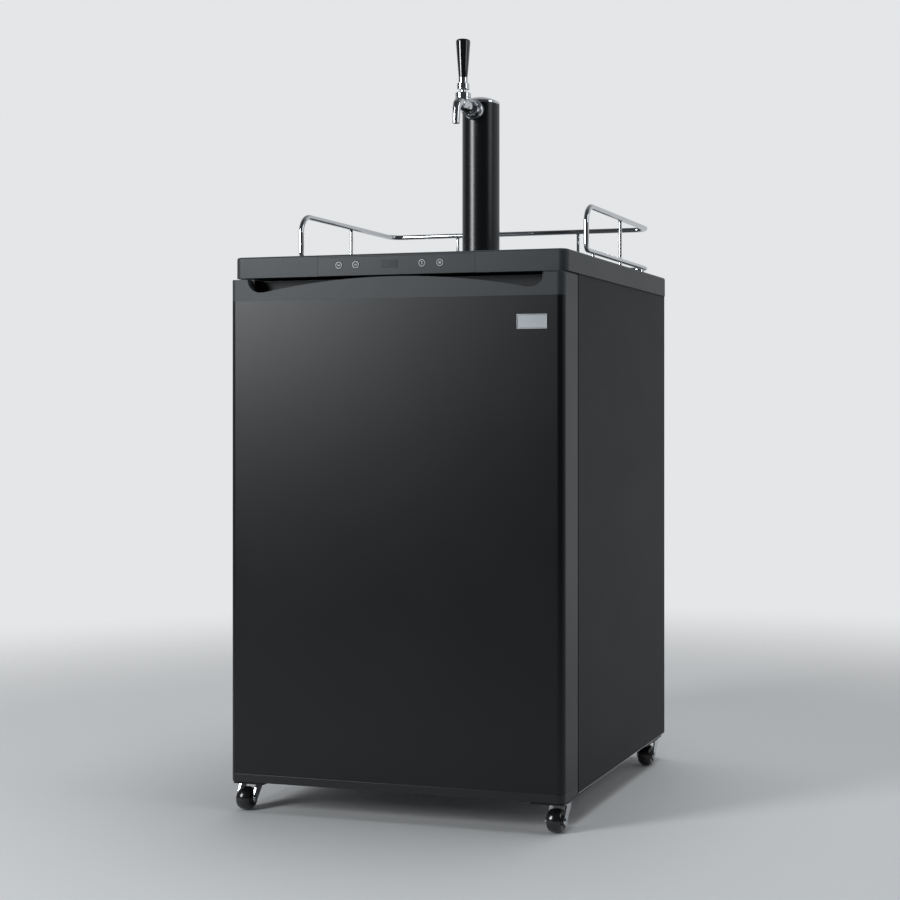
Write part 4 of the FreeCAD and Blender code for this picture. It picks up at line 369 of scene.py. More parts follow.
# %% [markdown]
# ## Making a piece
# A sharp edge on a real product is never quite sharp: it has a tiny round that catches the light. Each
# piece here is a bmesh, whose sharp edges are bevelled and whose shading is then smooth, except where
# two faces meet at a clear angle. Weighted normals keep its flat faces flat beside those small rounds.

# %% Edges and finished pieces
MM = 0.001


def corners_of(node):
    """The low and the high corner of a node's box, in millimetres."""
    return [Vector(corner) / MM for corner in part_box(node)]


def soft_edges(form, width, segments=3, angle=32):
    """Round the edges where two faces meet at more than an angle; width in millimetres."""
    limit = math.radians(angle)
    sharp = [edge for edge in form.edges if edge.is_manifold and edge.calc_face_angle(0) > limit]
    bmesh.ops.bevel(form, geom=sharp, offset=width * MM, offset_type="OFFSET", segments=segments, profile=0.5,
                    affect="EDGES", clamp_overlap=True, material=-1)
    return form


def settle(name, form, node, stands_for=None, slot=None, smooth=38):
    """Turn a bmesh into a piece with the body and finish of a node."""
    mesh = bpy.data.meshes.new(name)
    form.to_mesh(mesh)
    form.free()
    mesh.shade_smooth()
    mesh.set_sharp_from_angle(angle=math.radians(smooth))
    piece = bpy.data.objects.new(name, mesh)
    bpy.context.scene.collection.objects.link(piece)
    slot = slot or SLOT_OF[node]
    mesh.materials.append(FINISHES[slot].material)
    shading = piece.modifiers.new("flat faces stay flat", "WEIGHTED_NORMAL")
    shading.keep_sharp = True
    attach(piece, BODY_OF[node])
    stood = (node,) if stands_for is None else stands_for
    if stood:
        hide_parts(*stood)
    return piece


def solid_copy(node):
    """A merged copy of a node's mesh, with its flat faces joined up."""
    form = bmesh.new()
    form.from_mesh(frame["nodes"][node].data)
    bmesh.ops.remove_doubles(form, verts=form.verts, dist=0.000002)
    bmesh.ops.dissolve_limit(form, angle_limit=math.radians(0.4), verts=form.verts, edges=form.edges)
    return form


print("piece helpers ready")

# %% [markdown]
# ## Shapes that a lathe or a bender would make
# Much of this object is turned: the tower, the tap and the wheels. A turned piece is one profile of
# radii and heights, spun round an axis. A rail or a coil is a round bar that is bent round rollers: one
# ring of vertices is pushed along each straight run and spun round each corner. A cast piece with a
# changing section is a row of rings that are bridged to each other.

# %% Slabs, turned pieces and bent bars
def slab(low, high):
    """A block between two corners, in millimetres."""
    low, high = Vector(low) * MM, Vector(high) * MM
    form = bmesh.new()
    bmesh.ops.create_cube(form, size=1)
    bmesh.ops.scale(form, vec=high - low, verts=form.verts)
    bmesh.ops.translate(form, vec=(low + high) / 2, verts=form.verts)
    return form


TURNS = {"X": Matrix.Rotation(math.pi / 2, 4, "Y"), "Y": Matrix.Rotation(-math.pi / 2, 4, "X"), "Z": Matrix()}


def turned(profile, centre, axis="Z", steps=64, closed=False):
    """A profile of (radius, way along the axis) spun round an axis through centre, in millimetres."""
    form = bmesh.new()
    corners = [form.verts.new((radius * MM, 0, along * MM)) for radius, along in profile]
    pairs = list(zip(corners, corners[1:])) + ([(corners[-1], corners[0])] if closed else [])
    edges = [form.edges.new(pair) for pair in pairs]
    bmesh.ops.spin(form, geom=corners + edges, cent=(0, 0, 0), axis=(0, 0, 1), angle=math.tau, steps=steps,
                   use_merge=True)
    bmesh.ops.remove_doubles(form, verts=form.verts, dist=0.000002)
    bmesh.ops.recalc_face_normals(form, faces=form.faces)
    bmesh.ops.transform(form, matrix=Matrix.Translation(Vector(centre) * MM) @ TURNS[axis], verts=form.verts)
    return form


def bent_bar(points, bends, radius, sides=16, steps=8):
    """A round bar through points, bent round a radius at each corner between, in millimetres."""
    points = [Vector(point) * MM for point in points]
    form = bmesh.new()
    way = (points[1] - points[0]).normalized()
    stand = Matrix.Translation(points[0]) @ way.to_track_quat("Z", "Y").to_matrix().to_4x4()
    ring = bmesh.ops.create_circle(form, segments=sides, radius=radius * MM, matrix=stand)["verts"]
    rim = list({edge for vert in ring for edge in vert.link_edges})
    bmesh.ops.edgeloop_fill(form, edges=rim)
    here = points[0]
    for number, corner in enumerate(points[1:]):
        last = number == len(points) - 2
        following = way if last else (points[number + 2] - corner).normalized()
        angle = way.angle(following)
        bend = 0 if last else bends[number] * MM
        start = corner - way * bend * math.tan(angle / 2)
        moved = bmesh.ops.extrude_edge_only(form, edges=rim)["geom"]
        ring = [item for item in moved if isinstance(item, bmesh.types.BMVert)]
        rim = [item for item in moved if isinstance(item, bmesh.types.BMEdge) and set(item.verts) <= set(ring)]
        bmesh.ops.translate(form, vec=start - here, verts=ring)
        here = start
        if last:
            break
        inward = (following - way * way.dot(following)).normalized()
        made = bmesh.ops.spin(form, geom=ring + rim, cent=start + inward * bend, axis=way.cross(following),
                              angle=angle, steps=steps)["geom_last"]
        ring = [item for item in made if isinstance(item, bmesh.types.BMVert)]
        rim = [item for item in made if isinstance(item, bmesh.types.BMEdge)]
        here = corner + following * bend * math.tan(angle / 2)
        way = following
    bmesh.ops.edgeloop_fill(form, edges=rim)
    bmesh.ops.recalc_face_normals(form, faces=form.faces)
    return form


def loft(stations, sides=32):
    """A closed skin over rings; a station is a centre, a direction and a radius, in millimetres."""
    form = bmesh.new()
    rings = []
    for centre, way, radius in stations:
        lean = Vector(way).to_track_quat("Z", "X").to_matrix().to_4x4()
        stand = Matrix.Translation(Vector(centre) * MM) @ lean
        made = bmesh.ops.create_circle(form, segments=sides, radius=radius * MM, matrix=stand)["verts"]
        rings.append(list({edge for vert in made for edge in vert.link_edges}))
    for ring, following in zip(rings, rings[1:]):
        bmesh.ops.bridge_loops(form, edges=ring + following)
    bmesh.ops.edgeloop_fill(form, edges=rings[0])
    bmesh.ops.edgeloop_fill(form, edges=rings[-1])
    bmesh.ops.recalc_face_normals(form, faces=form.faces)
    return form


def joined(*forms):
    """Several bmeshes as one."""
    whole = forms[0]
    for form in forms[1:]:
        mesh = bpy.data.meshes.new("joining")
        form.to_mesh(mesh)
        form.free()
        whole.from_mesh(mesh)
        bpy.data.meshes.remove(mesh)
    return whole


bar_test = bent_bar([(0, 0, 0), (0, 0, 50), (60, 0, 50)], [20], 3)
print("a test bar ends at x", round(max(vert.co.x for vert in bar_test.verts) / MM, 3), "of 60")
bar_test.free()

# %% [markdown]
# Two jobs are easier for a modifier than for bmesh: cutting one solid out of another, and melting
# overlapping solids into one skin, as a casting has. A form becomes an object for a moment, the
# modifier does its work, and the result is read back as a bmesh, so that no modifier is left waiting.

# %% Cutting and melting
def brief_object(form):
    mesh = bpy.data.meshes.new("brief")
    form.to_mesh(mesh)
    form.free()
    item = bpy.data.objects.new("brief", mesh)
    bpy.context.scene.collection.objects.link(item)
    return item


def read_back(item, *others):
    form = bmesh.new()
    form.from_object(item, bpy.context.evaluated_depsgraph_get())
    for each in (item, *others):
        mesh = each.data
        bpy.data.objects.remove(each)
        bpy.data.meshes.remove(mesh)
    return form


def carved(form, *tools):
    """The form with the tools cut out of it."""
    item = brief_object(form)
    cutters = [brief_object(tool) for tool in tools]
    for cutter in cutters:
        cutting = item.modifiers.new("cut", "BOOLEAN")
        cutting.operation = "DIFFERENCE"
        cutting.solver = "EXACT"
        cutting.object = cutter
    return read_back(item, *cutters)


def melted(form, grain, rounds):
    """Overlapping solids as one skin of small faces, smoothed so that their corners run together."""
    item = brief_object(form)
    melting = item.modifiers.new("melt", "REMESH")
    melting.mode = "VOXEL"
    melting.voxel_size = grain * MM
    form = read_back(item)
    for _ in range(rounds):
        bmesh.ops.smooth_vert(form, verts=form.verts, factor=0.5, use_axis_x=True, use_axis_y=True,
                              use_axis_z=True)
    return form


print("cutting and melting ready")

# %% [markdown]
# Many of the construction solids have just the right shape and only lack soft edges. For those, a
# merged copy with a small bevel is both the quickest and the most faithful way. Modelling them anew
# would only repeat the same sizes.

# %% Sheet metal, liners and small hardware with soft edges
SOFTENED = {
    "side_panels": 0.5, "back_panel": 0.3, "bay_cover": 0.25, "base_pan": 0.3, "front_frame": 0.3,
    "inner_liner": 1.2, "keg_floor_plate": 0.8, "pass_through_sleeves": 0.3, "evaporating_tray": 0.5,
    "caster_plates": 0.4, "caster_pivots": 0.3, "hinge_hardware": 0.3, "bay_shroud": 0.3,
    "door_base_trim": 1.0, "worktop": 0.3, "control_panel": 0.15, "tower_flange": 0.5, "drip_tray": 0.5,
    "drip_grid": 0.35, "coupling_nut": 0.5, "line_fittings": 0.3, "beer_line": 0.3, "shank": 0.3,
    "display_window": 0.15, "valve_plunger": 0.2, "base_bolts": 0.3, "compressor_mounts": 0.6,
}
CORNERS = ("front_left", "front_right", "rear_left", "rear_right")
for corner in CORNERS:
    SOFTENED[f"caster_fork_{corner}"] = 0.35
for node, width in SOFTENED.items():
    settle(f"{node}_dressed", soft_edges(solid_copy(node), width, 2), node)
print(len(SOFTENED), "solids softened")

# %% [markdown]
# ## The door
# The door's skin is one sheet of steel that wraps round the front and both sides. Bending it round the
# two upright front corners gives them a wide round, which is the soft bright line at the door's edges.
# A block with those two edges bevelled, its other faces removed and a wall given to the rest, makes it.

# %% Door skin
DOOR_ROUND, SKIN_THICK = 12, 1.0
skin_low, skin_high = corners_of("door_skin")


def across(edge, axis):
    """How far an edge reaches along an axis."""
    return abs(edge.verts[0].co[axis] - edge.verts[1].co[axis])


def front_rounded(low, high):
    """A block whose two upright front edges have the door's wide round."""
    form = slab(low, high)
    middle_y = (low.y + high.y) / 2 * MM
    upright = [edge for edge in form.edges if across(edge, 2) > 0 and edge.verts[0].co.y < middle_y]
    bmesh.ops.bevel(form, geom=upright, offset=DOOR_ROUND * MM, offset_type="OFFSET", segments=14, profile=0.5,
                    affect="EDGES", clamp_overlap=True, material=-1)
    return form


skin = front_rounded(skin_low, skin_high)
open_faces = [face for face in skin.faces if abs(face.normal.z) > 0.9 or face.normal.y > 0.9]
bmesh.ops.delete(skin, geom=open_faces, context="FACES")
bmesh.ops.recalc_face_normals(skin, faces=skin.faces)
outside = max(skin.faces, key=lambda face: face.calc_area())
if outside.normal.y > 0:
    bmesh.ops.reverse_faces(skin, faces=skin.faces)
bmesh.ops.solidify(skin, geom=skin.faces, thickness=SKIN_THICK * MM)
settle("door_skin_bent", soft_edges(skin, 0.25, 2, 50), "door_skin")
print("door skin", [round(value, 1) for value in skin_low], [round(value, 1) for value in skin_high])

# %% [markdown]
# The trim on top of the door is also its handle. Its front lip is one long arch, highest in the middle
# and lowest near both ends, where fingers reach in behind it. Cutting the lip with a very large disc gives
# that arch exactly: what lies above the disc goes, and a small disc rounds off each end of the cut. Thin
# dark sheets line the pocket behind the lip as painted shade, so that the pocket reads as a deep shadow.

# %% Handle trim
LIP, DIP, LOW_X, END_X = 10, 22.5, 238, 244
PAST = 1
WELL_IN, WELL_OUT, WELL_DEEP, WELL_FLOOR = 40, 262, 30, 8
trim_low, trim_high = corners_of("door_handle_trim")
front, lip_back, top = trim_low.y, trim_low.y + LIP, trim_high.z
well_floor, well_back = trim_low.z + WELL_FLOOR, lip_back + WELL_DEEP


def span(side, near, far):
    """Two places along x on one side of the middle, the lower one first."""
    return sorted((side * near, side * far))


def flat_disc(centre, radius, low_y, high_y, steps):
    """A disc that faces the front."""
    return turned([(0, low_y), (radius, low_y), (radius, high_y), (0, high_y)], centre, "Y", steps)


arch = (LOW_X ** 2 + DIP ** 2) / (2 * DIP)
tools = []
for side in (-1, 1):
    left, right = span(side, 0, LOW_X)
    over = slab((left, front - PAST, top - DIP), (right, lip_back + PAST, top + PAST))
    under = flat_disc((0, 0, top - 0.4 - arch), arch, front - 3, lip_back + 3, 720)
    tools.append(carved(over, under))
    tools.append(flat_disc((side * END_X, 0, top), DIP, front - PAST, lip_back + PAST, 64))
    left, right = span(side, LOW_X - 1, END_X)
    tools.append(slab((left, front - PAST, top - DIP), (right, lip_back + PAST, top + PAST)))
    left, right = span(side, WELL_IN, WELL_OUT)
    tools.append(soft_edges(slab((left, lip_back, well_floor), (right, well_back, top + 9)), 5, 4))
trim = carved(front_rounded(trim_low, trim_high), *tools)
bmesh.ops.remove_doubles(trim, verts=trim.verts, dist=0.00002)
bmesh.ops.dissolve_limit(trim, angle_limit=math.radians(0.2), verts=trim.verts, edges=trim.edges)
settle("door_handle_trim_arched", soft_edges(trim, 0.8, 3, 40), "door_handle_trim")

# Painted shade: dark sheets on the pocket's floor, back wall and ends, where there is only shadow.
SHADE_SHEET_THICK = 0.6
pocket_shade_sheets = []
for side in (-1, 1):
    left, right = span(side, 60, WELL_OUT - 0.2)
    end = side * (WELL_OUT - 0.5)
    pocket_shade_sheets += [slab((left, lip_back + 2, well_floor), (right, well_back, well_floor + SHADE_SHEET_THICK)),
               slab((left, well_back - SHADE_SHEET_THICK, well_floor), (right, well_back, top - 1)),
               slab((end - SHADE_SHEET_THICK / 2, lip_back + 1, well_floor), (end + SHADE_SHEET_THICK / 2, well_back, top - 1))]
settle("door_handle_painted_shade", joined(*pocket_shade_sheets), "door_handle_trim", stands_for=(), slot="gasket_rubber")
print("arch radius", round(arch), "mm")

# %% [markdown]
# Along the top of the bottom trim runs a small bead that catches a thin line of light. It is a thin bar,
# bent round the door's two corners.

# %% Bead on the bottom trim
BEAD_X, BEAD_BACK, BEAD_FRONT, BEAD_Z = 299, -246, -316.3, 65
bead_route = [(-BEAD_X, BEAD_BACK, BEAD_Z), (-BEAD_X, BEAD_FRONT, BEAD_Z), (BEAD_X, BEAD_FRONT, BEAD_Z),
              (BEAD_X, BEAD_BACK, BEAD_Z)]
bead = bent_bar(bead_route, [DOOR_ROUND - 1] * 2, 0.95, 12, 10)
settle("door_base_trim_bead", bead, "door_base_trim", stands_for=(), smooth=60)
print("bead ready")

# %% [markdown]
# Behind the door, a white liner carries the seal. It is vacuum-formed, so its middle is a shallow dish
# with sloping walls and no sharp corner. The seal is a soft ring with a magnet in its thick middle and a
# groove on each side, which lets it follow the cabinet. Both start as one face that is inset in steps.

# %% Door liner, gasket and badge
def stepped_face(form, towards, steps):
    """Inset the outermost face on a side in steps of (width, depth), in millimetres."""
    face = max(form.faces, key=lambda each: (round(each.normal.dot(Vector(towards)), 3), each.calc_area()))
    for width, depth in steps:
        bmesh.ops.inset_region(form, faces=[face], thickness=width * MM, depth=depth * MM, use_even_offset=True)
    return face


liner_low, liner_high = corners_of("door_liner")
liner = slab(liner_low, liner_high)
stepped_face(liner, (0, 1, 0), [(52, 0), (3, -1.5), (150, 0), (3, 1.1)])
settle("door_liner_formed", soft_edges(liner, 0.8, 3, 15), "door_liner")

seal_low, seal_high = corners_of("door_gasket")
seal = slab(seal_low, seal_high)
middle = stepped_face(seal, (0, 1, 0), [(2.2, 0), (0.8, -4), (1.4, 0), (0.8, 4), (7.6, 0), (0.8, -4), (1.4, 0),
                                        (0.8, 3), (2.2, 0)])
bmesh.ops.delete(seal, geom=[middle], context="FACES")
back_face = min(seal.faces, key=lambda face: face.normal.y)
bmesh.ops.inset_region(seal, faces=[back_face], thickness=18 * MM, use_even_offset=True)
bmesh.ops.delete(seal, geom=[back_face], context="FACES")
open_edges = [edge for edge in seal.edges if edge.is_boundary]
bmesh.ops.bridge_loops(seal, edges=open_edges)
bmesh.ops.recalc_face_normals(seal, faces=seal.faces)
settle("door_gasket_moulded", soft_edges(seal, 0.35, 2, 30), "door_gasket")

badge_low, badge_high = corners_of("blank_badge")
badge = slab(badge_low, badge_high)
stepped_face(badge, (0, -1, 0), [(1.3, 0), (0.5, -0.45)])
settle("blank_badge_plate", soft_edges(badge, 0.2, 2, 30), "blank_badge")
print("liner, gasket and badge ready")

# %% [markdown]
# ## The tower
# The tower is a steel tube under a domed chrome cap. The dome is part of a large ball, so its profile
# follows that ball's circle. A ring with a rounded face hides the hole where the tap's shank leaves the
# tube. All three are turned: their profiles are short lists of radii and heights.

# %% Tower column, cap and ring
TOWER = (0, 84.6, 0)
TAP = (0, 0, 1245)
column_low, column_high = corners_of("tower_column")
column_radius = column_high.x
bore = column_radius - 1.5
column = turned([(bore, column_low.z), (column_radius, column_low.z), (column_radius, column_high.z),
                 (bore, column_high.z)], TOWER, steps=96, closed=True)
settle("tower_column_tube", soft_edges(column, 0.3, 2, 50), "tower_column")

cap_low, cap_high = corners_of("tower_cap")
cap_radius, cap_rise = cap_high.x, 10
ball = (cap_radius ** 2 + cap_rise ** 2) / (2 * cap_rise)
dome = [(radius, cap_high.z - ball + math.sqrt(ball ** 2 - radius ** 2))
        for radius in (0, 7, 14, 21, 28, 33, cap_radius)]
cap = turned(dome + [(cap_radius, column_high.z), (cap_radius - 2, column_high.z), (cap_radius - 2, cap_low.z),
                     (0, cap_low.z)], TOWER, steps=96)
settle("tower_cap_domed", soft_edges(cap, 0.8, 4, 40), "tower_cap")

ring = turned([(9.6, 40.6), (14.2, 40.6), (16.6, 41.4), (18.2, 43.4), (18.9, 46.4), (18.9, 53), (9.6, 53)], TAP,
              "Y", steps=80, closed=True)
settle("beauty_ring_domed", soft_edges(ring, 0.4, 2, 40), "beauty_ring")
print("column radius", round(column_radius, 2), "cap dome ball radius", round(ball, 1))

# %% [markdown]
# ## The tap
# A beer tap's body is a brass casting under chrome. Its barrel, the boss that carries the bonnet and the
# spout are one skin with soft inner corners. So the three are modelled as overlapping solids and then
# melted together, and the smoothing rounds those corners as a casting mould does. The beer's way, the
# piston's way and the lever's socket are cut out afterwards, so that they stay crisp.

# %% Faucet body
TAP_Z = (0, -4.4, 0)
barrel = turned([(0, -25.4), (4.5, -25.0), (8.2, -23.6), (10.6, -21.2), (11.5, -17.5), (11.5, 14), (10.4, 17),
                 (10.4, 24), (11.5, 27), (11.5, 33.3), (0, 33.3)], TAP, "Y")
boss = turned([(0, 1240), (11.5, 1240), (11.5, 1250), (12.6, 1253), (0, 1253)], TAP_Z)
spout = loft([((0, -4, 1246), (0, -1, 0.1), 9.0), ((0, -17, 1247.2), (0, -1, 0.05), 9.3),
              ((0, -26, 1246.4), (0, -0.92, -0.38), 9.0), ((0, -32.2, 1241.4), (0, -0.6, -0.8), 8.3),
              ((0, -35.6, 1233.5), (0, -0.3, -0.95), 7.6), ((0, -37.3, 1222), (0, -0.12, -0.99), 7.0),
              ((0, -38.2, 1210), (0, -0.05, -1), 6.7), ((0, -38.4, 1204.9), (0, 0, -1), 7.0)])
beer_way = loft([((0, -38.4, 1200), (0, 0, 1), 4.5), ((0, -37.6, 1220), (0, 0.08, 1), 4.5),
                 ((0, -33.5, 1237), (0, 0.45, 0.9), 4.5), ((0, -24, 1244.6), (0, 1, 0.2), 4.5),
                 ((0, -12, 1245), (0, 1, 0), 4.5)], 24)
piston_way = turned([(0, -20), (5.6, -20), (5.6, 16.8), (7.6, 16.8), (7.6, 40), (0, 40)], TAP, "Y", 40)
socket = turned([(0, 1245), (7.7, 1245), (7.7, 1254.2), (9.3, 1256.5), (9.3, 1259), (0, 1259)], TAP_Z, "Z", 40)
body = melted(joined(barrel, boss, spout), 0.6, 5)
settle("faucet_body_cast", carved(body, beer_way, piston_way, socket), "faucet_body", smooth=50)

# %% [markdown]
# Above the body come the threaded bonnet with a groove round it, the lever with its ball, collar and
# ferrule, and the black handle. The profile of the lever is read from the bottom up, as a turner would
# cut it. The handle widens upwards and ends in a small dome, which gives it its upright bright lines.

# %% Bonnet, lever and handle
TRUNNION_ENDS = [(-11.5, -4.4, 1259), (11.5, -4.4, 1259)]
trunnions = bent_bar(TRUNNION_ENDS, [], 2.2)
bonnet = turned([(9.2, 1253), (14.2, 1253), (14.5, 1253.4), (14.5, 1256.2), (13.8, 1256.8), (13.8, 1257.6),
                 (14.5, 1258.2), (14.5, 1265.2), (14.0, 1266.3), (12.9, 1267), (12.2, 1267), (9.2, 1262)],
                TAP_Z, steps=80, closed=True)
settle("faucet_bonnet_ring", carved(bonnet, trunnions), "faucet_bonnet", smooth=30)

lever = turned([(0, 1242), (2.1, 1242.9), (3, 1245), (2.1, 1247.2), (2.1, 1251), (5.1, 1252.5), (7.6, 1255.7),
                (8.3, 1259), (7.6, 1262.3), (5.3, 1265.4), (5.2, 1267), (5.2, 1271.6), (6.3, 1272.8),
                (11.0, 1273.3), (11.5, 1273.9), (11.5, 1283.2), (11.0, 1283.8), (8.2, 1284.1), (7.7, 1284.6),
                (7.7, 1285.6), (8.5, 1286.3), (8.5, 1294.6), (8.1, 1295), (3, 1295), (3, 1314), (2.2, 1315),
                (0, 1315)], TAP_Z, steps=72)
pin = bent_bar(TRUNNION_ENDS, [], 2)
settle("tap_lever_turned", joined(lever, pin), "tap_lever", smooth=42)

handle = turned([(3.3, 1295), (7.5, 1295), (7.95, 1295.3), (8.1, 1296), (9.3, 1308), (11.2, 1332), (12.9, 1355),
                 (13.25, 1360), (12.9, 1362.4), (11.6, 1364), (9.2, 1364.8), (5, 1365), (0, 1365), (0, 1317),
                 (3.3, 1317)], TAP_Z, steps=72, closed=True)
settle("tap_handle_grip", handle, "tap_handle", smooth=50)
print("bonnet, lever and handle ready")

# %% [markdown]
# ## The guard rail
# The rail is bent from chromed steel bar: an upper hoop, a lower one, and thin uprights welded between
# them. Pegs under the lower hoop stand in the worktop. Where an upright meets a hoop the weld leaves a
# small fillet, so each upright's profile widens at both ends.

# %% Guard rail
RAIL_X, RAIL_FRONT, RAIL_BACK, RAIL_Z, LOWER_Z = 272, -112.4, 282.6, 1038.5, 961
SIDE_ROD_Y, REAR_ROD_X, PEG_IN = 92.6, 128, 40


def hoop_points(height):
    """The corners of a hoop that stands on its two front ends."""
    return [(-RAIL_X, RAIL_FRONT, LOWER_Z + 10), (-RAIL_X, RAIL_FRONT, height), (-RAIL_X, RAIL_BACK, height),
            (RAIL_X, RAIL_BACK, height), (RAIL_X, RAIL_FRONT, height), (RAIL_X, RAIL_FRONT, LOWER_Z + 10)]


hoop = bent_bar(hoop_points(RAIL_Z), [32, 26, 26, 32], 4.7, 24, 12)
settle("rail_hoop_bent", hoop, "rail_hoop", smooth=50)

pieces = [bent_bar(hoop_points(LOWER_Z), [9.9, 26, 26, 9.9], 4.2, 24, 10)]
rod_spots = [(side * RAIL_X, SIDE_ROD_Y) for side in (-1, 1)]
rod_spots += [(side * REAR_ROD_X, RAIL_BACK) for side in (-1, 1)]
ROD_PROFILE = [(0, 962), (4.2, 963.4), (3.5, 965.6), (3, 968), (3, 1030.5), (3.5, 1033), (4.3, 1035.4),
               (0, 1036)]
PEG_PROFILE = [(0, 935), (2.9, 935), (3, 958), (0, 958)]
for x, y in rod_spots:
    pieces.append(turned(ROD_PROFILE, (x, y, 0), steps=24))
peg_spots = [(side * RAIL_X, y) for side in (-1, 1)
             for y in (RAIL_FRONT + PEG_IN, SIDE_ROD_Y, RAIL_BACK - PEG_IN)]
peg_spots += [(side * REAR_ROD_X, RAIL_BACK) for side in (-1, 1)]
for x, y in peg_spots:
    pieces.append(turned(PEG_PROFILE, (x, y, 0), steps=20))
settle("rail_lower_welded", joined(*pieces), "rail_lower", smooth=50)
print("rail pieces", len(pieces) + 1)

# %% [markdown]
# ## Wheels, buttons and screws
# A caster's wheel is moulded in one piece: a hub, a thin web, and a tread that is crowned, so that it
# touches the floor in its middle and turns easily. Its outline is rounder than a plain disc. The same
# profile serves all four wheels.

# %% Caster wheels
HALF_WHEEL = [(3.2, 13), (7.4, 13), (8.2, 12.2), (8.6, 10.4), (12.6, 10.4), (13.6, 11.8), (15.4, 12.2),
              (17.6, 10.4), (19.2, 6.4), (19.9, 2.4)]
wheel_profile = [(radius, -along) for radius, along in HALF_WHEEL] + [(20, 0)] + HALF_WHEEL[::-1]
for corner in CORNERS:
    low, high = corners_of(f"caster_wheel_{corner}")
    wheel = turned(wheel_profile, (low + high) / 2, "X", 72, closed=True)
    settle(f"wheel_{corner}_moulded", wheel, f"caster_wheel_{corner}", smooth=34)
print("wheel profile points", len(wheel_profile))

# %% [markdown]
# The control buttons are round caps with a shallow dish for a fingertip. Their marks are printed in
# white: a thin ring, and inside it an arrow, a bar or a frost star, which are the usual signs for colder,
# warmer, unit and quick cooling. A mark is a very thin solid that lies on the cap and moves with it.

# %% Buttons and their marks
PANEL_Z, CAP_FRONT = 927, -303.0


RING_IN, RING_OUT, STROKE = 5.0, 5.9, 1.0
INK_FRONT = CAP_FRONT - 0.06


def stroke(centre_x, from_x, from_z, to_x, to_z):
    """A printed line on a cap, between two places counted from the cap's middle."""
    length = math.hypot(to_x - from_x, to_z - from_z)
    line = slab((-length / 2, 0, -STROKE / 2), (length / 2, 0.08, STROKE / 2))
    lean = Matrix.Rotation(-math.atan2(to_z - from_z, to_x - from_x), 4, "Y")
    middle = Vector((centre_x + (from_x + to_x) / 2, INK_FRONT, PANEL_Z + (from_z + to_z) / 2)) * MM
    bmesh.ops.transform(line, matrix=Matrix.Translation(middle) @ lean, verts=line.verts)
    return line


MARKS = {
    "down": [(-2.2, 1.0, 0, -1.2), (0, -1.2, 2.2, 1.0)],
    "up": [(-2.2, -1.0, 0, 1.2), (0, 1.2, 2.2, -1.0)],
    "unit": [(0, -2.4, 0, 2.4), (-1.3, 2.4, 1.3, 2.4)],
    "chill": [(-2.5, 0, 2.5, 0), (-1.25, -2.17, 1.25, 2.17), (-1.25, 2.17, 1.25, -2.17)],
}
for name, lines in MARKS.items():
    node = f"button_{name}"
    low, high = corners_of(node)
    x = (low.x + high.x) / 2
    cap = turned([(0, CAP_FRONT + 0.1), (3.6, CAP_FRONT + 0.06), (5.9, CAP_FRONT), (6.5, CAP_FRONT + 0.2),
                  (6.7, CAP_FRONT + 0.7), (6.7, -299.2), (8.2, -299.1), (8.2, -297.9), (2, -297.8),
                  (2, high.y), (0, high.y)], (x, 0, PANEL_Z), "Y", 64)
    settle(f"{node}_cap", cap, node, smooth=40)
    ring = turned([(RING_IN, INK_FRONT), (RING_OUT, INK_FRONT), (RING_OUT, CAP_FRONT + 0.1),
                   (RING_IN, CAP_FRONT + 0.1)], (x, 0, PANEL_Z), "Y", 64, closed=True)
    strokes = [stroke(x, *line) for line in lines]
    settle(f"{node}_mark", joined(ring, *strokes), node, stands_for=(), slot="liner_plastic")
print("buttons", list(MARKS))

# %% [markdown]
# A pan-headed screw is a low dome with a cross cut into it. One head is turned and cut, and copies of it
# are turned to face out of each surface. The shanks are hidden, so they are plain bars.

# %% Screws
def screw(spot, way, head, thick, length):
    """A pan-headed screw whose head stands on a surface at spot, facing along way."""
    profile = [(0, thick), (head * 0.55, thick * 0.97), (head * 0.85, thick * 0.72), (head, thick * 0.28),
               (head, 0), (head * 0.45, 0), (head * 0.45, -length), (0, -length)]
    form = turned(profile, (0, 0, 0), steps=32)
    arm, deep = head * 0.55, thick * 0.45
    form = carved(form, slab((-arm, -0.4, deep), (arm, 0.4, thick + 1)),
                  slab((-0.4, -arm, deep), (0.4, arm, thick + 1)))
    lean = Vector(way).to_track_quat("Z", "Y").to_matrix().to_4x4()
    bmesh.ops.transform(form, matrix=Matrix.Translation(Vector(spot) * MM) @ lean, verts=form.verts)
    return form


SMALL_SCREW, FLANGE_SCREW = (4, 1.8, 3), (4.4, 2.6, 6)
COVER_X, COVER_Y, COVER_ROWS = 290, 313.6, (66, 165.5, 265)
HINGE_SCREWS_X, HINGE_SCREW_Y, HINGE_SCREW_Z = (269, 287), -233.8, 897.5
FLANGE_RING, FLANGE_TOP = 44, 953
diagonal = FLANGE_RING / math.sqrt(2)
screws = [screw((x, COVER_Y, z), (0, 1, 0), *SMALL_SCREW) for x in (-COVER_X, COVER_X) for z in COVER_ROWS]
screws += [screw((x, HINGE_SCREW_Y, HINGE_SCREW_Z), (0, -1, 0), *SMALL_SCREW) for x in HINGE_SCREWS_X]
screws += [screw((i * diagonal, TOWER[1] + j * diagonal, FLANGE_TOP), (0, 0, 1), *FLANGE_SCREW)
           for i in (-1, 1) for j in (-1, 1)]
settle("pan_head_screws_cut", joined(*screws), "pan_head_screws", smooth=40)
print(len(screws), "screws")

# %% [markdown]
# ## The cooling parts
# Cold comes from a sheet with a flat serpentine channel blown into it. The compressor is a welded steel
# pot with a seam round its middle, a foot and a relay box, and the condenser behind it is one tube bent
# to and fro. They are seen only with the door open or from behind, but they are made with the same care.

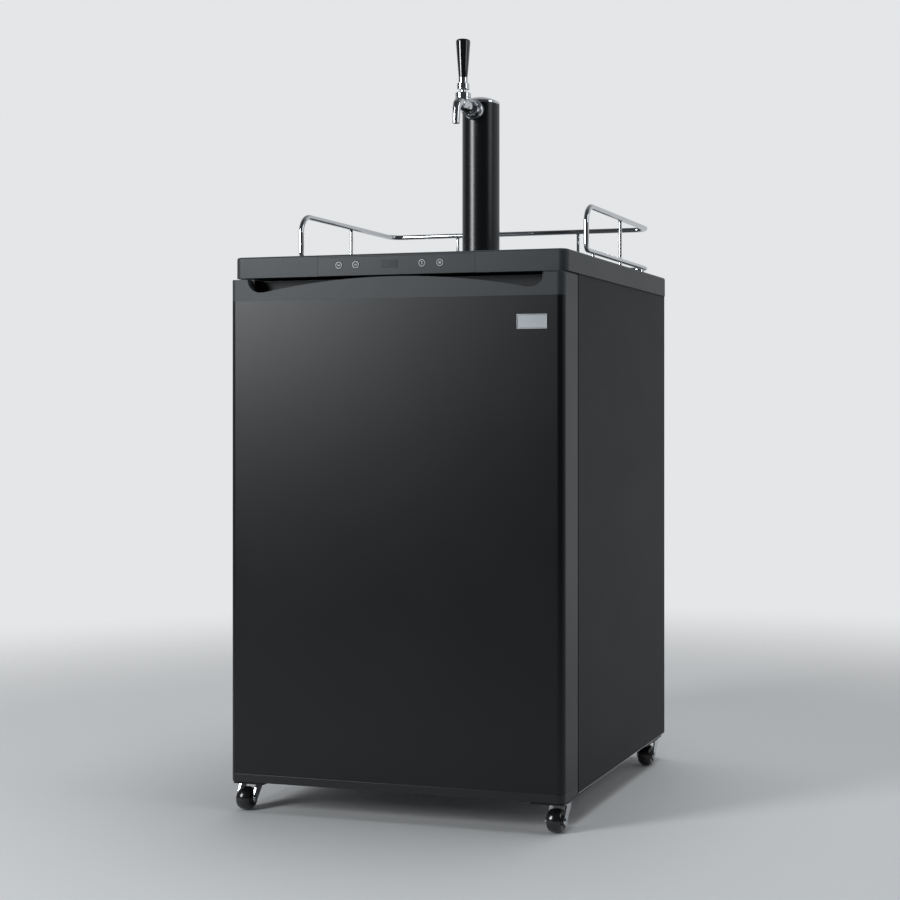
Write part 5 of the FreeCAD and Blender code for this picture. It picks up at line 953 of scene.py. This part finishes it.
# %% Evaporator, compressor and condenser
low, high = corners_of("evaporator")
LANES, LANE_PITCH, LANE_IN, LANE_UP = 7, 50, 28, 40
sheet = soft_edges(slab((low.x, low.y, low.z), (high.x, low.y + 1.5, high.z)), 0.4, 2)
lane_y = low.y + 0.6
lanes = []
for lane in range(LANES):
    z = low.z + LANE_UP + lane * LANE_PITCH
    ends = [(low.x + LANE_IN, lane_y, z), (high.x - LANE_IN, lane_y, z)]
    lanes += ends if lane % 2 == 0 else ends[::-1]
channel = bent_bar(lanes, [LANE_PITCH / 2 - 0.1] * (2 * LANES - 2), 4, 16, 8)
bmesh.ops.scale(channel, vec=(1, 0.5, 1), space=Matrix.Translation((0, -lane_y * MM, 0)), verts=channel.verts)
feet = [turned([(0, low.y + 1), (5, low.y + 1), (5, high.y), (0, high.y)], (x, 0, z), "Y", 32)
        for x in (low.x + 25, high.x - 25) for z in (low.z + 25, high.z - 25)]
settle("evaporator_sheet", joined(sheet, channel, *feet), "evaporator", smooth=40)

low, high = corners_of("compressor")
centre = ((low.x + high.x) / 2, (low.y + high.y) / 2, 0)
pot = turned([(0, 66), (44, 66), (49.5, 72), (51, 80), (51, 124), (52, 125), (52, 129), (51, 130), (51, 172),
              (49.4, 180), (44, 187), (33, 192), (18, 193.7), (0, 194)], centre, steps=72)
foot = soft_edges(slab((low.x, 204.1, 65), (high.x, 300.1, 68)), 0.8, 2)
relay = soft_edges(slab((-86, 230.1, 88), (-52, 274.1, 136)), 3, 3)
settle("compressor_welded", joined(pot, foot, relay), "compressor", smooth=40)

low, high = corners_of("condenser")
RUNS, RUN_PITCH, RUN_ENDS, COIL_Y, COIL_LOW = 8, 18, (20, 262), 278.6, 81
coil = []
for run in range(RUNS):
    ends = [(x, COIL_Y, COIL_LOW + RUN_PITCH * run) for x in RUN_ENDS]
    coil += ends if run % 2 == 0 else ends[::-1]
plates = [soft_edges(slab((x, COIL_Y - 12, 51), (x + 1.5, COIL_Y + 12, high.z)), 0.3, 1) for x in (34, 246.5)]
tube = bent_bar(coil, [RUN_PITCH * 0.45] * (2 * RUNS - 2), 2.5, 12, 6)
settle("condenser_bent", joined(tube, *plates), "condenser", smooth=40)
print("coil runs", len(coil) // 2)
